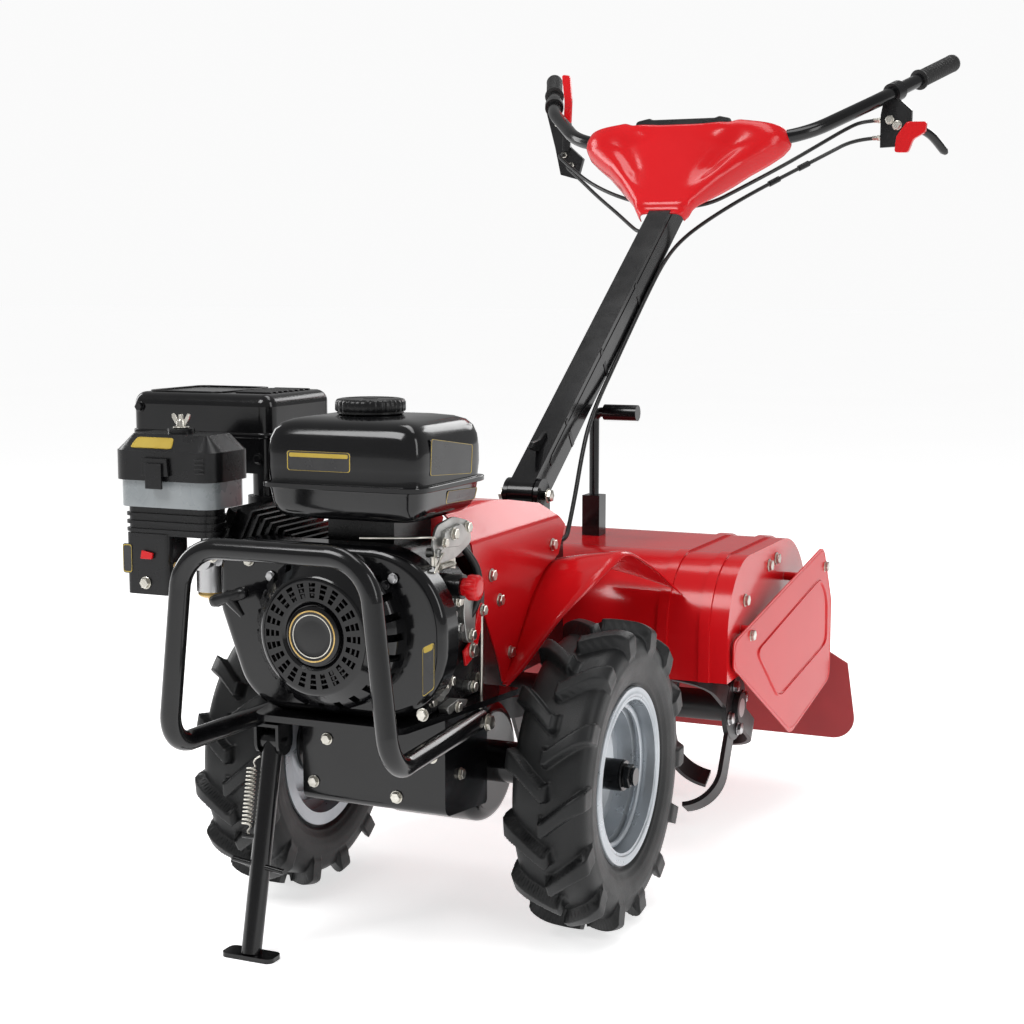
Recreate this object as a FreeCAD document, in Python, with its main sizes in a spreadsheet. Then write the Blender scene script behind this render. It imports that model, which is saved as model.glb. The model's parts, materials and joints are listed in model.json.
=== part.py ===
import FreeCAD, Part
import math
import os
import re
from types import SimpleNamespace

import Sketcher
from FreeCAD import Placement, Rotation, Vector

# A walk-behind garden tiller: a petrol engine and bull bar in front, two driven wheels with
# cleated tyres in the middle, a tine rotor under a hood behind, and one mast that carries the
# handlebar. It stands on both tyres and its folding front stand.
# +X is forward, +Y is the machine's left and +Z is up. The floor is Z = 0. Every sub-part is drawn
# with X counted from the wheel axle, and its Placement then moves it forward by axle_x.

# ---------------------------------------------------------------- sizes, in mm and degrees

SIZES = [
    ("axle_x", 470.6, "wheel axle ahead of the origin"),
    # wheels
    ("wheel_radius", 205.0, "floor to axle, over the lugs"),
    ("track_half", 227.0, "centre plane to the middle of a tyre"),
    ("tyre_width", 104.0, "section width of the tyre"),
    ("lug_height", 17.0, "lug above the tread"),
    ("lug_width", 19.0, "lug across its top"),
    ("lug_count", 14.0, "lugs on each half of a tyre"),
    ("lug_turn", 7.2, "degrees from the top to the first left lug"),
    ("tyre_sides", 48.0, "flats round the tyre"),
    ("lug_sweep", 12.5, "degrees the tip of a lug leads its outer end"),
    ("rim_width", 86.0, "over the rim flanges"),
    ("rim_radius", 118.0, "rim flange"),
    ("rim_seat", 104.0, "bead seat"),
    ("rim_well", 90.0, "drop centre"),
    ("rim_sheet", 3.0, "thickness of the rim"),
    ("disc_set", 14.0, "wheel disc inboard of the tyre's middle"),
    ("hub_radius", 21.0, "hub tube"),
    ("hub_flange", 46.0, "radius of the hub flange"),
    ("hub_in", 45.0, "hub inboard of the tyre's middle"),
    ("hub_out", 34.0, "hub outboard of the tyre's middle"),
    ("axle_radius", 12.5, "axle shaft"),
    ("axle_end", 12.0, "axle journal outside the hub"),
    ("case_front", 104.0, "front of the gearbox"),
    ("axle_half", 279.0, "centre plane to the end of the axle"),
    ("shaft_gap", 0.05, "running clearance of a shaft"),
    ("seat_gap", 0.2, "clearance between seated pieces"),
    # transmission
    ("axle_tube", 28.0, "radius of the axle housing"),
    ("axle_tube_half", 176.0, "centre plane to the end of the axle housing"),
    ("drive_radius", 84.0, "final drive case round the axle"),
    ("drive_half", 74.0, "half width of the final drive case"),
    ("gear_half", 62.0, "half width of the gearbox"),
    ("neck_half", 38.0, "half width of the gearbox behind the axle"),
    ("gear_front", 62.0, "front of the gearbox ahead of the axle"),
    ("gear_top", 496.0, "top of the gearbox"),
    ("belly_front", 210.0, "front of the lower case"),
    ("belly_half", 102.0, "half width of the lower case"),
    ("belly_low", 172.0, "underside of the lower case"),
    ("base_top", 326.0, "engine seat"),
    ("base_sheet", 8.0, "thickness of the engine plate"),
    ("base_front", 330.0, "front of the engine plate"),
    ("base_rear", 66.0, "rear of the engine plate"),
    # engine
    ("crank_z", 435.0, "height of the crankshaft"),
    ("block_front", 262.0, "front of the crankcase"),
    ("block_top", 529.0, "top of the crankcase"),
    ("cylinder_lean", 25.0, "degrees the cylinder rises to the right"),
    ("cylinder_x", 190.0, "cylinder ahead of the axle"),
    ("fin_count", 11.0, "cooling fins"),
    ("fin_half", 54.0, "cylinder axis to the edge of a fin"),
    ("port_x", 130.0, "exhaust port ahead of the axle"),
    ("port_y", -200.0, "exhaust port from the centre plane"),
    ("port_top", 570.0, "exhaust port's face"),
    ("cowl_front", 302.0, "front of the fan cowl"),
    ("cowl_left", 146.0, "fan cowl towards the left"),
    ("cowl_right", -166.0, "fan cowl towards the right"),
    ("cowl_top", 537.0, "top of the fan cowl"),
    ("recoil_radius", 98.0, "recoil starter cover"),
    ("recoil_depth", 54.0, "recoil starter ahead of the cowl"),
    ("recoil_face", 70.0, "radius of the recoil starter in front"),
    ("slot_count", 24.0, "slots in each ring of the recoil starter"),
    ("tank_front", 322.0, "front of the fuel tank"),
    ("tank_rear", 128.0, "rear of the fuel tank"),
    ("tank_right", -92.0, "fuel tank towards the machine's right"),
    ("tank_left", 124.0, "fuel tank towards the machine's left"),
    ("tank_low", 566.0, "underside of the fuel tank"),
    ("tank_seam", 608.0, "seam of the fuel tank"),
    ("tank_top", 690.0, "top of the fuel tank"),
    ("cap_radius", 44.0, "fuel cap"),
    ("cap_height", 20.0, "fuel cap above the tank"),
    ("filter_front", 318.0, "front of the air cleaner"),
    ("filter_rear", 224.0, "rear of the air cleaner"),
    ("filter_right", -312.0, "air cleaner towards the right"),
    ("filter_left", -160.0, "air cleaner towards the left"),
    ("filter_low", 571.0, "underside of the dust bowl"),
    ("filter_seam", 605.0, "air cleaner cover over the bowl"),
    ("filter_top", 662.0, "top of the air cleaner"),
    ("box_low", 457.0, "underside of the carburettor cover"),
    ("muffler_front", 150.0, "front of the muffler guard"),
    ("muffler_rear", -15.0, "rear of the muffler guard"),
    ("muffler_low", 600.0, "underside of the muffler guard"),
    ("muffler_top", 704.0, "top of the muffler guard"),
    ("muffler_right", -400.0, "muffler guard towards the right"),
    ("muffler_left", -180.0, "muffler guard towards the left"),
    ("louvre_count", 9.0, "louvres in the side of the muffler guard"),
    # bull bar and stand
    ("bar_radius", 12.5, "bull bar tube"),
    ("bar_front", 442.0, "bull bar ahead of the axle"),
    ("bar_half", 130.0, "centre plane to the rear end of a lower tube"),
    ("bar_foot", 148.0, "centre plane to the bull bar at its front foot"),
    ("bar_crown", 121.0, "centre plane to the bull bar at its top"),
    ("bar_top", 547.0, "height of the top tube"),
    ("bar_rear", 165.0, "rear end of the lower tubes"),
    ("bar_bend", 55.0, "bend radius at the top"),
    ("bar_elbow", 42.0, "bend radius at the bottom"),
    ("stand_x", 236.0, "stand pivot ahead of the axle"),
    ("stand_z", 268.0, "height of the stand pivot"),
    ("stand_foot_x", 298.0, "foot ahead of the axle"),
    ("stand_radius", 13.0, "stand leg"),
    ("foot_length", 74.0, "foot plate across the machine"),
    ("foot_width", 30.0, "foot plate along the machine"),
    ("foot_sheet", 6.0, "thickness of the foot plate"),
    # covers
    ("cover_front", 94.0, "lower front corner of the clutch cover"),
    ("cover_nose", 138.0, "upper front edge of the clutch cover"),
    ("cover_rear", 195.0, "rear of the clutch cover behind the axle"),
    ("cover_half", 98.0, "half width of the clutch cover"),
    ("cover_top", 563.0, "top of the clutch cover"),
    ("cover_split", 447.0, "lower edge of the clutch cover"),
    ("sheet", 2.0, "thickness of pressed covers"),
    ("wing_reach", 212.0, "centre plane to the outer edge of a fender"),
    # tine hood
    ("hood_front", 335.0, "front of the hood behind the axle"),
    ("hood_rear", 800.0, "rear of the hood behind the axle"),
    ("hood_half", 300.0, "centre plane to the end plates"),
    ("hood_top", 440.0, "top of the hood"),
    ("hood_low", 262.0, "front lower edge of the hood"),
    ("hood_tail", 268.0, "rear lower edge of the hood"),
    ("hood_sheet", 1.6, "thickness of the hood"),
    ("shield_length", 440.0, "side shield along the machine"),
    ("shield_flare", 5.0, "degrees the side shield opens to the rear"),
    ("flap_top", 262.0, "flap hinge height"),
    ("flap_low", 62.0, "lower edge of the flap"),
    ("flap_pin", 5.0, "hinge rod of the flap"),
    # tine rotor
    ("rotor_x", 525.0, "rotor axis behind the axle"),
    ("rotor_z", 182.0, "height of the rotor axis"),
    ("rotor_radius", 170.0, "tine tips round the rotor axis"),
    ("rotor_shaft", 15.0, "rotor shaft"),
    ("rotor_half", 268.0, "centre plane to the end of the rotor"),
    ("case_half", 22.0, "half width of the tine gear case"),
    ("case_radius", 56.0, "tine gear case round the rotor"),
    # mast and handlebar
    ("mast_x", 280.0, "mast pivot behind the axle"),
    ("mast_z", 536.0, "height of the mast pivot"),
    ("mast_angle", 34.6, "rise of the mast in degrees"),
    ("mast_length", 860.0, "pivot to the upper end of the mast"),
    ("mast_width", 40.0, "mast across the machine"),
    ("mast_depth", 52.0, "mast in the plane of the machine"),
    ("grip_bar", 12.5, "handlebar tube"),
    ("bar_straight", 205.0, "straight part of the handlebar, to each side"),
    ("grip_back", 369.0, "grip ends behind the middle of the handlebar"),
    ("grip_rise", 164.0, "grip ends above the middle of the handlebar"),
    ("grip_y", 412.0, "grip ends from the centre plane"),
    ("grip_length", 120.0, "rubber grip"),
    ("grip_radius", 17.0, "rubber grip"),
    ("cable_radius", 3.5, "control cable"),
    ("cover_lean", 35.5, "degrees the handlebar cover leans back"),
    ("cover_rise", 212.0, "handlebar cover from foot to top"),
    ("crank_x", 562.0, "depth crank behind the axle"),
    ("crank_top", 642.0, "height of the depth crank's handle"),
]

doc = FreeCAD.newDocument("garden_tiller")
sheet = doc.addObject("Spreadsheet::Sheet", "Sizes")
for row, (alias, number, meaning) in enumerate(SIZES, start=1):
    sheet.set(f"A{row}", meaning)
    sheet.set(f"B{row}", str(number))
    sheet.setAlias(f"B{row}", alias)
doc.recompute()

ALIASES = {alias for alias, number, meaning in SIZES}
mm = SimpleNamespace(**{alias: float(sheet.get(alias)) for alias in ALIASES})
RISE = math.radians(mm.mast_angle)
BAR_X = mm.mast_x + mm.mast_length * math.cos(RISE) + 27  # middle of the handlebar, behind the axle
BAR_Z = mm.mast_z + mm.mast_length * math.sin(RISE) + 81  # middle of the handlebar, over the floor
BAR_LOW = mm.base_top - mm.base_sheet - mm.bar_radius - mm.seat_gap  # lower tubes, under the plate
NODES = []


# ---------------------------------------------------------------- helpers

def bound(text):
    """An expression in the sheet's names, written as FreeCAD reads it."""
    return re.sub(r"[a-z]\w*", lambda word: f"Sizes.{word[0]}" if word[0] in ALIASES else word[0], text)


def value(text):
    """The number that such an expression gives."""
    return float(sheet.evalExpression(bound(text)))


def place(item, x="0", y="0", z="0", turn=None):
    """Binds a sub-part's Placement; turn is (axis, expression in degrees)."""
    if turn:
        item.Placement = Placement(Vector(), Rotation(turn[0], value(turn[1])))
        item.setExpression("Placement.Rotation.Angle", bound(turn[1]))
    item.setExpression("Placement.Base.x", bound(f"axle_x + ({x})"))
    item.setExpression("Placement.Base.y", bound(y))
    item.setExpression("Placement.Base.z", bound(z))


def node(item, label):
    """Keeps an object as a sub-part of the machine."""
    item.Label = label
    NODES.append(item)
    return item


def new_body(label, **where):
    body = doc.addObject("PartDesign::Body", label)
    place(body, **where)
    return node(body, label)


def feature(label, shape, **where):
    """A sub-part whose shape is made by Part's own functions."""
    item = doc.addObject("Part::Feature", label)
    item.Shape = shape
    place(item, **where)
    return node(item, label)


def plane_of(body, role):
    return next(item for item in body.Origin.OriginFeatures if item.Role == role + "_Plane")


def sketch_on(body, plane, offset="0"):
    sketch = body.newObject("Sketcher::SketchObject", body.Label + "_sketch")
    sketch.AttachmentSupport = (plane_of(body, plane), [""])
    sketch.MapMode = "FlatFace"
    sketch.setExpression("AttachmentOffset.Base.z", bound(offset))
    return sketch


def pin_point(sketch, geometry, point, corner):
    """Ties a sketch point to its two expressions."""
    for kind, text in (("DistanceX", corner[0]), ("DistanceY", corner[1])):
        index = sketch.addConstraint(
            Sketcher.Constraint(kind, -1, 1, geometry, point, value(text)))
        sketch.setExpression(f"Constraints[{index}]", bound(text))


def outline(sketch, corners):
    """Draws a closed outline; a corner (a, b) is sharp and (a, b, r) is rounded."""
    count = len(corners)
    places = [Vector(value(corner[0]), value(corner[1]), 0) for corner in corners]
    starts, ends = [], []
    for index, corner in enumerate(corners):
        here = places[index]
        before = (places[index - 1] - here).normalize()
        after = (places[(index + 1) % count] - here).normalize()
        cut = 0.0
        if len(corner) == 3:
            half = before.getAngle(after) / 2
            cut = value(corner[2]) / math.tan(half)
        ends.append(here + before * cut)
        starts.append(here + after * cut)
    sides = [sketch.addGeometry(Part.LineSegment(starts[i], ends[(i + 1) % count]), False)
             for i in range(count)]
    for index, corner in enumerate(corners):
        before, after = sides[index - 1], sides[index]
        if len(corner) == 2:
            sketch.addConstraint(Sketcher.Constraint("Coincident", before, 2, after, 1))
            pin_point(sketch, after, 1, corner)
            continue
        into, out = ends[index], starts[index]
        radius = value(corner[2])
        here = places[index]
        middle = (into + out) / 2
        reach = math.hypot(radius, (into - here).Length)
        centre = here + (middle - here).normalize() * reach
        left_turn = (here - into).cross(out - here).z > 0
        first, last = (into, out) if left_turn else (out, into)
        angles = [math.atan2((p - centre).y, (p - centre).x) for p in (first, last)]
        circle = Part.Circle(centre, Vector(0, 0, 1), radius)
        arc = sketch.addGeometry(Part.ArcOfCircle(circle, angles[0], angles[1]), False)
        arc_in, arc_out = (1, 2) if left_turn else (2, 1)
        sketch.addConstraint(Sketcher.Constraint("Tangent", before, 2, arc, arc_in))
        sketch.addConstraint(Sketcher.Constraint("Tangent", arc, arc_out, after, 1))
        tie = sketch.addConstraint(Sketcher.Constraint("Radius", arc, radius))
        sketch.setExpression(f"Constraints[{tie}]", bound(corner[2]))
        point = sketch.addGeometry(Part.Point(here), True)
        sketch.addConstraint(Sketcher.Constraint("PointOnObject", point, 1, before))
        sketch.addConstraint(Sketcher.Constraint("PointOnObject", point, 1, after))
        pin_point(sketch, point, 1, corner)
    return sketch


def circle_in(sketch, across, up, radius):
    """Draws a circle; all three are expressions."""
    spot = Vector(value(across), value(up), 0)
    ring = sketch.addGeometry(Part.Circle(spot, Vector(0, 0, 1), value(radius)), False)
    tie = sketch.addConstraint(Sketcher.Constraint("Radius", ring, value(radius)))
    sketch.setExpression(f"Constraints[{tie}]", bound(radius))
    pin_point(sketch, ring, 3, (across, up))
    return sketch


def pad(body, sketch, length, both=False, back=False, slope="0"):
    """Pads a sketch; slope is how far its sides lean in, in degrees."""
    item = body.newObject("PartDesign::Pad", body.Label + "_pad")
    item.Profile = sketch
    item.setExpression("Length", bound(length))
    item.setExpression("TaperAngle", bound(f"-({slope})"))
    item.SideType = "Symmetric" if both else "One side"
    item.Reversed = back
    return item


def pocket(body, sketch, length, both=False, back=False):
    item = body.newObject("PartDesign::Pocket", body.Label + "_pocket")
    item.Profile = sketch
    item.setExpression("Length", bound(length))
    item.SideType = "Symmetric" if both else "One side"
    item.Reversed = back
    return item


def rounding(body, wanted, radius):
    """Rounds the edges of a body's last feature that pass the test."""
    base = body.Tip
    doc.recompute()
    names = [f"Edge{count}" for count, edge in enumerate(base.Shape.Edges, start=1) if wanted(edge)]
    item = body.newObject("PartDesign::Fillet", body.Label + "_rounding")
    item.Base = (base, names)
    item.setExpression("Radius", bound(radius))
    return item


def around(body, original, count):
    """Repeats a feature round the body's X axis; count is an expression."""
    item = body.newObject("PartDesign::PolarPattern", body.Label + "_pattern")
    item.Originals = [original]
    item.Axis = (next(axis for axis in body.Origin.OriginFeatures if axis.Role == "X_Axis"), [""])
    item.Angle = 360
    item.Occurrences = int(value(count))
    item.setExpression("Occurrences", bound(count))
    body.Tip = item
    return item


def prism(label, plane, corners, low, high):
    """An outline on the XZ or YZ plane, extruded square to it from low to high."""
    sketch = doc.addObject("Sketcher::SketchObject", label + "_sketch")
    turn = Rotation(Vector(1, 0, 0), 90) if plane == "XZ" else Rotation(Vector(1, 1, 1), 120)
    sketch.Placement = Placement(Vector(), turn)
    outline(sketch, corners)
    solid = doc.addObject("Part::Extrusion", label)
    solid.Base = sketch
    solid.DirMode = "Normal"
    solid.Solid = True
    ahead, behind = (f"-({low})", high) if plane == "XZ" else (high, f"-({low})")
    solid.setExpression("LengthFwd", bound(ahead))
    solid.setExpression("LengthRev", bound(behind))
    return solid


def joined(kind, label, pieces):
    """A boolean of document objects: Common or Fuse of all, or Cut of the first by the second."""
    if kind == "Cut":
        item = doc.addObject("Part::Cut", label)
        item.Base, item.Tool = pieces
    else:
        item = doc.addObject(f"Part::Multi{kind}", label)
        item.Shapes = pieces
    return item


def revolve(body, sketch):
    """Turns a sketch on a YZ or XZ plane about its own horizontal axis."""
    item = body.newObject("PartDesign::Revolution", body.Label + "_turned")
    item.Profile = sketch
    item.ReferenceAxis = (sketch, ["H_Axis"])
    item.Angle = 360
    return item


def rod(start, end, radius):
    """A round bar between two points."""
    return Part.makeCylinder(radius, (end - start).Length, start, end - start)


def tube_path(points, radii):
    """Straight runs joined by tangent arcs; radii has one entry for each inner point."""
    edges = []
    last = points[0]
    for index in range(1, len(points) - 1):
        here = points[index]
        before = (points[index - 1] - here).normalize()
        after = (points[index + 1] - here).normalize()
        half = before.getAngle(after) / 2
        cut = radii[index - 1] / math.tan(half)
        into, out = here + before * cut, here + after * cut
        inward = (before + after).normalize()
        crown = here + inward * (radii[index - 1] / math.sin(half) - radii[index - 1])
        if (into - last).Length > 1e-6:
            edges.append(Part.LineSegment(last, into).toShape())
        edges.append(Part.Arc(into, crown, out).toShape())
        last = out
    edges.append(Part.LineSegment(last, points[-1]).toShape())
    return Part.Wire(edges)


def bent_tube(points, radii, radius):
    path = tube_path(points, radii)
    ring = Part.Wire(Part.makeCircle(radius, points[0], points[1] - points[0]))
    return path.makePipeShell([ring], True, True)


def slab(corners, direction):
    """A flat face through the corners, thickened along a vector."""
    return Part.Face(Part.makePolygon(corners + corners[:1])).extrude(direction)


# ---------------------------------------------------------------- wheels

def skin(rings, closed=False):
    """A solid with flat facets between rings of points, capped unless the rings close on themselves."""
    faces = []
    pairs = list(zip(rings, rings[1:]))
    if closed:
        pairs.append((rings[-1], rings[0]))
    else:
        faces += [Part.Face(Part.makePolygon(ring + ring[:1])) for ring in (rings[0], rings[-1])]
    for here, there in pairs:
        for a, b, c, d in zip(here, here[1:] + here[:1], there[1:] + there[:1], there):
            faces.append(Part.Face(Part.makePolygon([a, b, c, a])))
            faces.append(Part.Face(Part.makePolygon([a, c, d, a])))
    shell = Part.Shell(faces)
    shell.sewShape()
    solid = Part.Solid(shell)
    return solid if solid.Volume > 0 else solid.reversed()


def tyre_shape():
    """A tyre round the Y axis in flat facets: the carcass with chevron lugs on its tread."""
    flange_y = mm.rim_width / 2 - mm.rim_sheet - mm.seat_gap
    side_y = mm.tyre_width / 2
    crown = mm.wheel_radius - mm.lug_height
    sides = int(mm.tyre_sides)
    bead = (mm.rim_seat + mm.seat_gap) / math.cos(math.pi / sides)
    half = [(flange_y, bead), (flange_y, mm.rim_radius + 2), (side_y - 2, mm.rim_radius + 18),
            (side_y, (mm.rim_radius + crown) / 2), (side_y - 4, crown - 9), (side_y * 0.55, crown)]
    section = half + [(-y, radius) for y, radius in reversed(half)]

    def spot(turn, y, radius):
        return Vector(radius * math.sin(turn), y, radius * math.cos(turn))

    rings = [[spot(2 * math.pi * step / sides, y, radius) for y, radius in section] for step in range(sides)]
    carcass = skin(rings, closed=True)

    lead = math.radians(mm.lug_sweep)
    stations = [(-4, 0.0, crown - 22, mm.wheel_radius), (side_y * 0.6, 0.62, crown - 22, mm.wheel_radius - 0.5),
                (side_y * 0.9, 0.94, crown - 22, mm.wheel_radius - 4), (side_y + 3, 1.0, crown - 18, crown + 4)]
    lugs = []
    for side in (1, -1):
        rings = []
        for y, share, foot, top in stations:
            middle = lead * (1 - share)
            corners = [(foot, -mm.lug_width / 2 - 6), (foot, mm.lug_width / 2 + 6),
                       (top, mm.lug_width / 2), (top, -mm.lug_width / 2)]
            rings.append([spot(middle + across / mm.wheel_radius, side * y, radius) for radius, across in corners])
        lug = skin(rings)
        for count in range(int(mm.lug_count)):
            one = lug.copy()
            start = count if side > 0 else count + 0.5
            one.rotate(Vector(), Vector(0, 1, 0), mm.lug_turn + 360 * start / mm.lug_count)
            lugs.append(one)
    return carcass.multiFuse(lugs).removeSplitter()


def rim_body(label, side):
    body = new_body(label, y=f"{side} * track_half", z="wheel_radius")
    half = "rim_width / 2"
    lip = f"{half} - rim_sheet"
    inner = "rim_seat - rim_sheet"
    profile = [
        (f"-({half})", "rim_radius"), (f"-({lip})", "rim_radius"), (f"-({lip})", "rim_seat"),
        ("-rim_width * 0.2", "rim_seat"), ("-rim_width * 0.14", "rim_well"),
        ("rim_width * 0.14", "rim_well"), ("rim_width * 0.2", "rim_seat"),
        (lip, "rim_seat"), (lip, "rim_radius"), (half, "rim_radius"), (half, inner),
        ("rim_width * 0.2 + rim_sheet", inner), ("rim_width * 0.14 + rim_sheet", "rim_well - rim_sheet"),
        ("-rim_width * 0.14 - rim_sheet", "rim_well - rim_sheet"), ("-rim_width * 0.2 - rim_sheet", inner),
        (f"-({half})", inner),
    ]
    revolve(body, outline(sketch_on(body, "YZ"), profile))
    inboard = -side
    flat = f"{inboard} * disc_set"
    face = f"{inboard} * (disc_set + rim_sheet)"
    edge = f"{inboard} * (disc_set - rim_sheet * 2.4)"
    back = f"{inboard} * (disc_set - rim_sheet * 1.2)"
    disc = [
        (flat, "hub_radius + seat_gap"), (flat, "rim_well * 0.62"), (edge, "rim_well * 0.8"),
        (edge, "rim_well - rim_sheet * 0.5"), (back, "rim_well - rim_sheet * 0.5"),
        (back, "rim_well * 0.8 + rim_sheet"), (face, "rim_well * 0.62 + rim_sheet"),
        (face, "hub_radius + seat_gap"),
    ]
    revolve(body, outline(sketch_on(body, "YZ"), disc))
    return body


def hub_body(label, side):
    body = new_body(label, y=f"{side} * track_half", z="wheel_radius")
    outer, inner = f"{side} * hub_out", f"{-side} * hub_in"
    seat = f"{-side} * (disc_set + rim_sheet + seat_gap)"
    back = f"{-side} * (disc_set + rim_sheet + seat_gap + 5)"
    bore = "axle_radius + shaft_gap"
    profile = [(outer, bore), (outer, "hub_radius"), (seat, "hub_radius"), (seat, "hub_flange"),
               (back, "hub_flange"), (back, "hub_radius"), (inner, "hub_radius"), (inner, bore)]
    revolve(body, outline(sketch_on(body, "YZ"), profile))
    return body


tread = tyre_shape()
for side, name in ((1, "left"), (-1, "right")):
    feature(f"tyre_{name}", tread, y=f"{side} * track_half", z="wheel_radius")
    rim_body(f"rim_{name}", side)
    hub_body(f"hub_{name}", side)


# ---------------------------------------------------------------- transmission

def final_drive():
    """The round case on the axle, with the axle housings that reach to the hubs."""
    body = new_body("final_drive", z="wheel_radius")
    bore = "axle_radius + seat_gap"
    profile = [
        ("-axle_tube_half", bore), ("-axle_tube_half", "axle_tube"), ("-drive_half", "axle_tube"),
        ("-drive_half", "drive_radius", "18"), ("drive_half", "drive_radius", "18"),
        ("drive_half", "axle_tube"), ("axle_tube_half", "axle_tube"), ("axle_tube_half", bore),
    ]
    revolve(body, outline(sketch_on(body, "YZ"), profile))
    return body


def axle_shaft():
    """The drive axle, turned down to a short journal outside each hub."""
    body = new_body("axle", z="wheel_radius")
    circle_in(sketch := sketch_on(body, "XZ"), "0", "0", "axle_radius")
    pad(body, sketch, "2 * (track_half + hub_out + seat_gap)", both=True)
    circle_in(sketch := sketch_on(body, "XZ"), "0", "0", "axle_end")
    pad(body, sketch, "2 * axle_half", both=True)
    return body


def gearbox():
    """The main case: a wide front up to the clutch and a narrow neck back to the tine drive."""
    body = new_body("gearbox")
    top = "wheel_radius + drive_radius + seat_gap"
    rear = "-hood_front + seat_gap"
    front = [("gear_front", top), ("gear_front", "base_top + seat_gap"), ("case_front", "base_top + seat_gap"),
             ("case_front", "gear_top", "14"), ("-drive_radius", "gear_top", "14"), ("-drive_radius", top)]
    pad(body, outline(sketch_on(body, "XZ"), front), "2 * gear_half", both=True)
    neck = [("-drive_radius + 1", top), ("-drive_radius + 1", "gear_top"), (rear, "gear_top", "16"), (rear, top, "14")]
    pad(body, outline(sketch_on(body, "XZ"), neck), "2 * neck_half", both=True)
    inside = [("-drive_radius - 8", f"{top} + 10"), ("-drive_radius - 8", "gear_top - 10"),
              (f"{rear} + 10", "gear_top - 10"), (f"{rear} + 10", f"{top} + 10")]
    pocket(body, outline(sketch_on(body, "XZ"), inside), "2 * neck_half - 16", both=True)
    posts = sketch_on(body, "XZ")
    for across in ("cover_front - 40", "-cover_rear * 0.2"):
        circle_in(posts, across, "cover_split - 21", "11")
    pad(body, posts, "2 * (cover_half - 2 * sheet - 2 * seat_gap)", both=True)
    return body


def belly_case():
    """The low front case under the engine plate."""
    body = new_body("lower_case")
    corners = [
        ("drive_radius + seat_gap", "belly_low", "6"), ("belly_front", "belly_low + 14", "16"),
        ("belly_front", "base_top - base_sheet - seat_gap", "4"),
        ("drive_radius + seat_gap", "base_top - base_sheet - seat_gap", "4"),
    ]
    pad(body, outline(sketch_on(body, "XZ"), corners), "2 * belly_half", both=True)
    return body


def engine_plate():
    body = new_body("engine_plate", z="base_top - base_sheet")
    half = "bar_half + bar_radius"
    corners = [("base_rear", f"-({half})", "8"), ("base_front", "-belly_half", "20"),
               ("base_front", "belly_half", "20"), ("base_rear", half, "8")]
    pad(body, outline(sketch_on(body, "XY"), corners), "base_sheet")
    return body


def tine_case():
    """The narrow gear case that reaches from the gearbox to the middle of the rotor."""
    centre = Vector(-mm.rotor_x, 0, mm.rotor_z)
    half = mm.case_half
    drum = Part.makeCylinder(mm.case_radius, 2 * half, centre - Vector(0, half, 0), Vector(0, 1, 0))
    front_x = -mm.hood_front
    arm = slab([Vector(front_x, -half, mm.rotor_z + 110), Vector(front_x, -half, mm.crank_z - 60),
                Vector(-mm.rotor_x, -half, mm.rotor_z + mm.case_radius),
                Vector(-mm.rotor_x, -half, mm.rotor_z - mm.case_radius * 0.4)], Vector(0, 2 * half, 0))
    bore = Part.makeCylinder(mm.rotor_shaft + mm.shaft_gap, 2 * half + 2,
                             centre - Vector(0, half + 1, 0), Vector(0, 1, 0))
    wall = half - 5
    hollow = slab([Vector(front_x - 6, -wall, mm.rotor_z + 116), Vector(front_x - 6, -wall, mm.crank_z - 71),
                   Vector(-mm.rotor_x + mm.case_radius, -wall, mm.rotor_z + mm.case_radius * 1.5),
                   Vector(-mm.rotor_x + mm.case_radius, -wall, mm.rotor_z + 16)], Vector(0, 2 * wall, 0))
    return feature("tine_case", drum.fuse(arm).cut(bore).removeSplitter().cut(hollow))


final_drive()
axle_shaft()
gearbox()
belly_case()
engine_plate()
tine_case()


# ---------------------------------------------------------------- engine

def engine_block():
    """Crankcase, tank seat and exhaust port, with the finned cylinder that leans up to the right."""
    body = new_body("engine_block")
    low = "base_top + seat_gap"
    case = [
        ("-88", low, "6"), ("104", low, "6"), ("108", "crank_z + 30", "20"), ("64", "block_top", "20"),
        ("-60", "block_top", "12"), ("-100", "crank_z + 40", "12"), ("-88", "crank_z - 70", "10"),
    ]
    sketch = outline(sketch_on(body, "YZ", "case_front + seat_gap"), case)
    pad(body, sketch, "block_front - case_front - seat_gap")

    def slice_of(start, end, half, width):
        """A slice square to the cylinder, from start to end along its axis."""
        corners = []
        for along, up in ((start, f"-({half})"), (end, f"-({half})"), (end, half), (start, half)):
            corners.append((f"({up}) * sin(cylinder_lean) - ({along}) * cos(cylinder_lean)",
                            f"crank_z + ({along}) * sin(cylinder_lean) + ({up}) * cos(cylinder_lean)"))
        sketch = outline(sketch_on(body, "YZ", f"cylinder_x - {width} / 2"), corners)
        pad(body, sketch, str(width))

    slice_of("40", "156", "fin_half - 18", 84)
    slice_of("150", "212", "fin_half - 10", 104)
    slice_of("211", "232", "fin_half - 20", 78)
    for fin in range(int(mm.fin_count)):
        slice_of(str(82 + 10.6 * fin), str(85 + 10.6 * fin), "fin_half", 116)

    port = circle_in(sketch_on(body, "XY", "crank_z + 60"), "port_x", "port_y", "24")
    pad(body, port, "port_top - crank_z - 60")
    seat = [("block_front - 130", "-42"), ("block_front - 20", "-42"), ("block_front - 20", "50"),
            ("block_front - 130", "50")]
    pad(body, outline(sketch_on(body, "XY", "block_top - 10"), seat), "tank_low - seat_gap - block_top + 10")
    relief = [("-101", "crank_z + 31"), ("-101", "cover_top"), ("120", "cover_top"), ("120", "crank_z + 31")]
    sketch = outline(sketch_on(body, "YZ", "cover_nose + 3"), relief)
    pocket(body, sketch, "cover_nose + 3 - case_front")
    neck = circle_in(sketch_on(body, "XZ", "-96"), "block_front - 28", "crank_z + 50", "15")
    pad(body, neck, "44", back=True)
    return body


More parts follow.
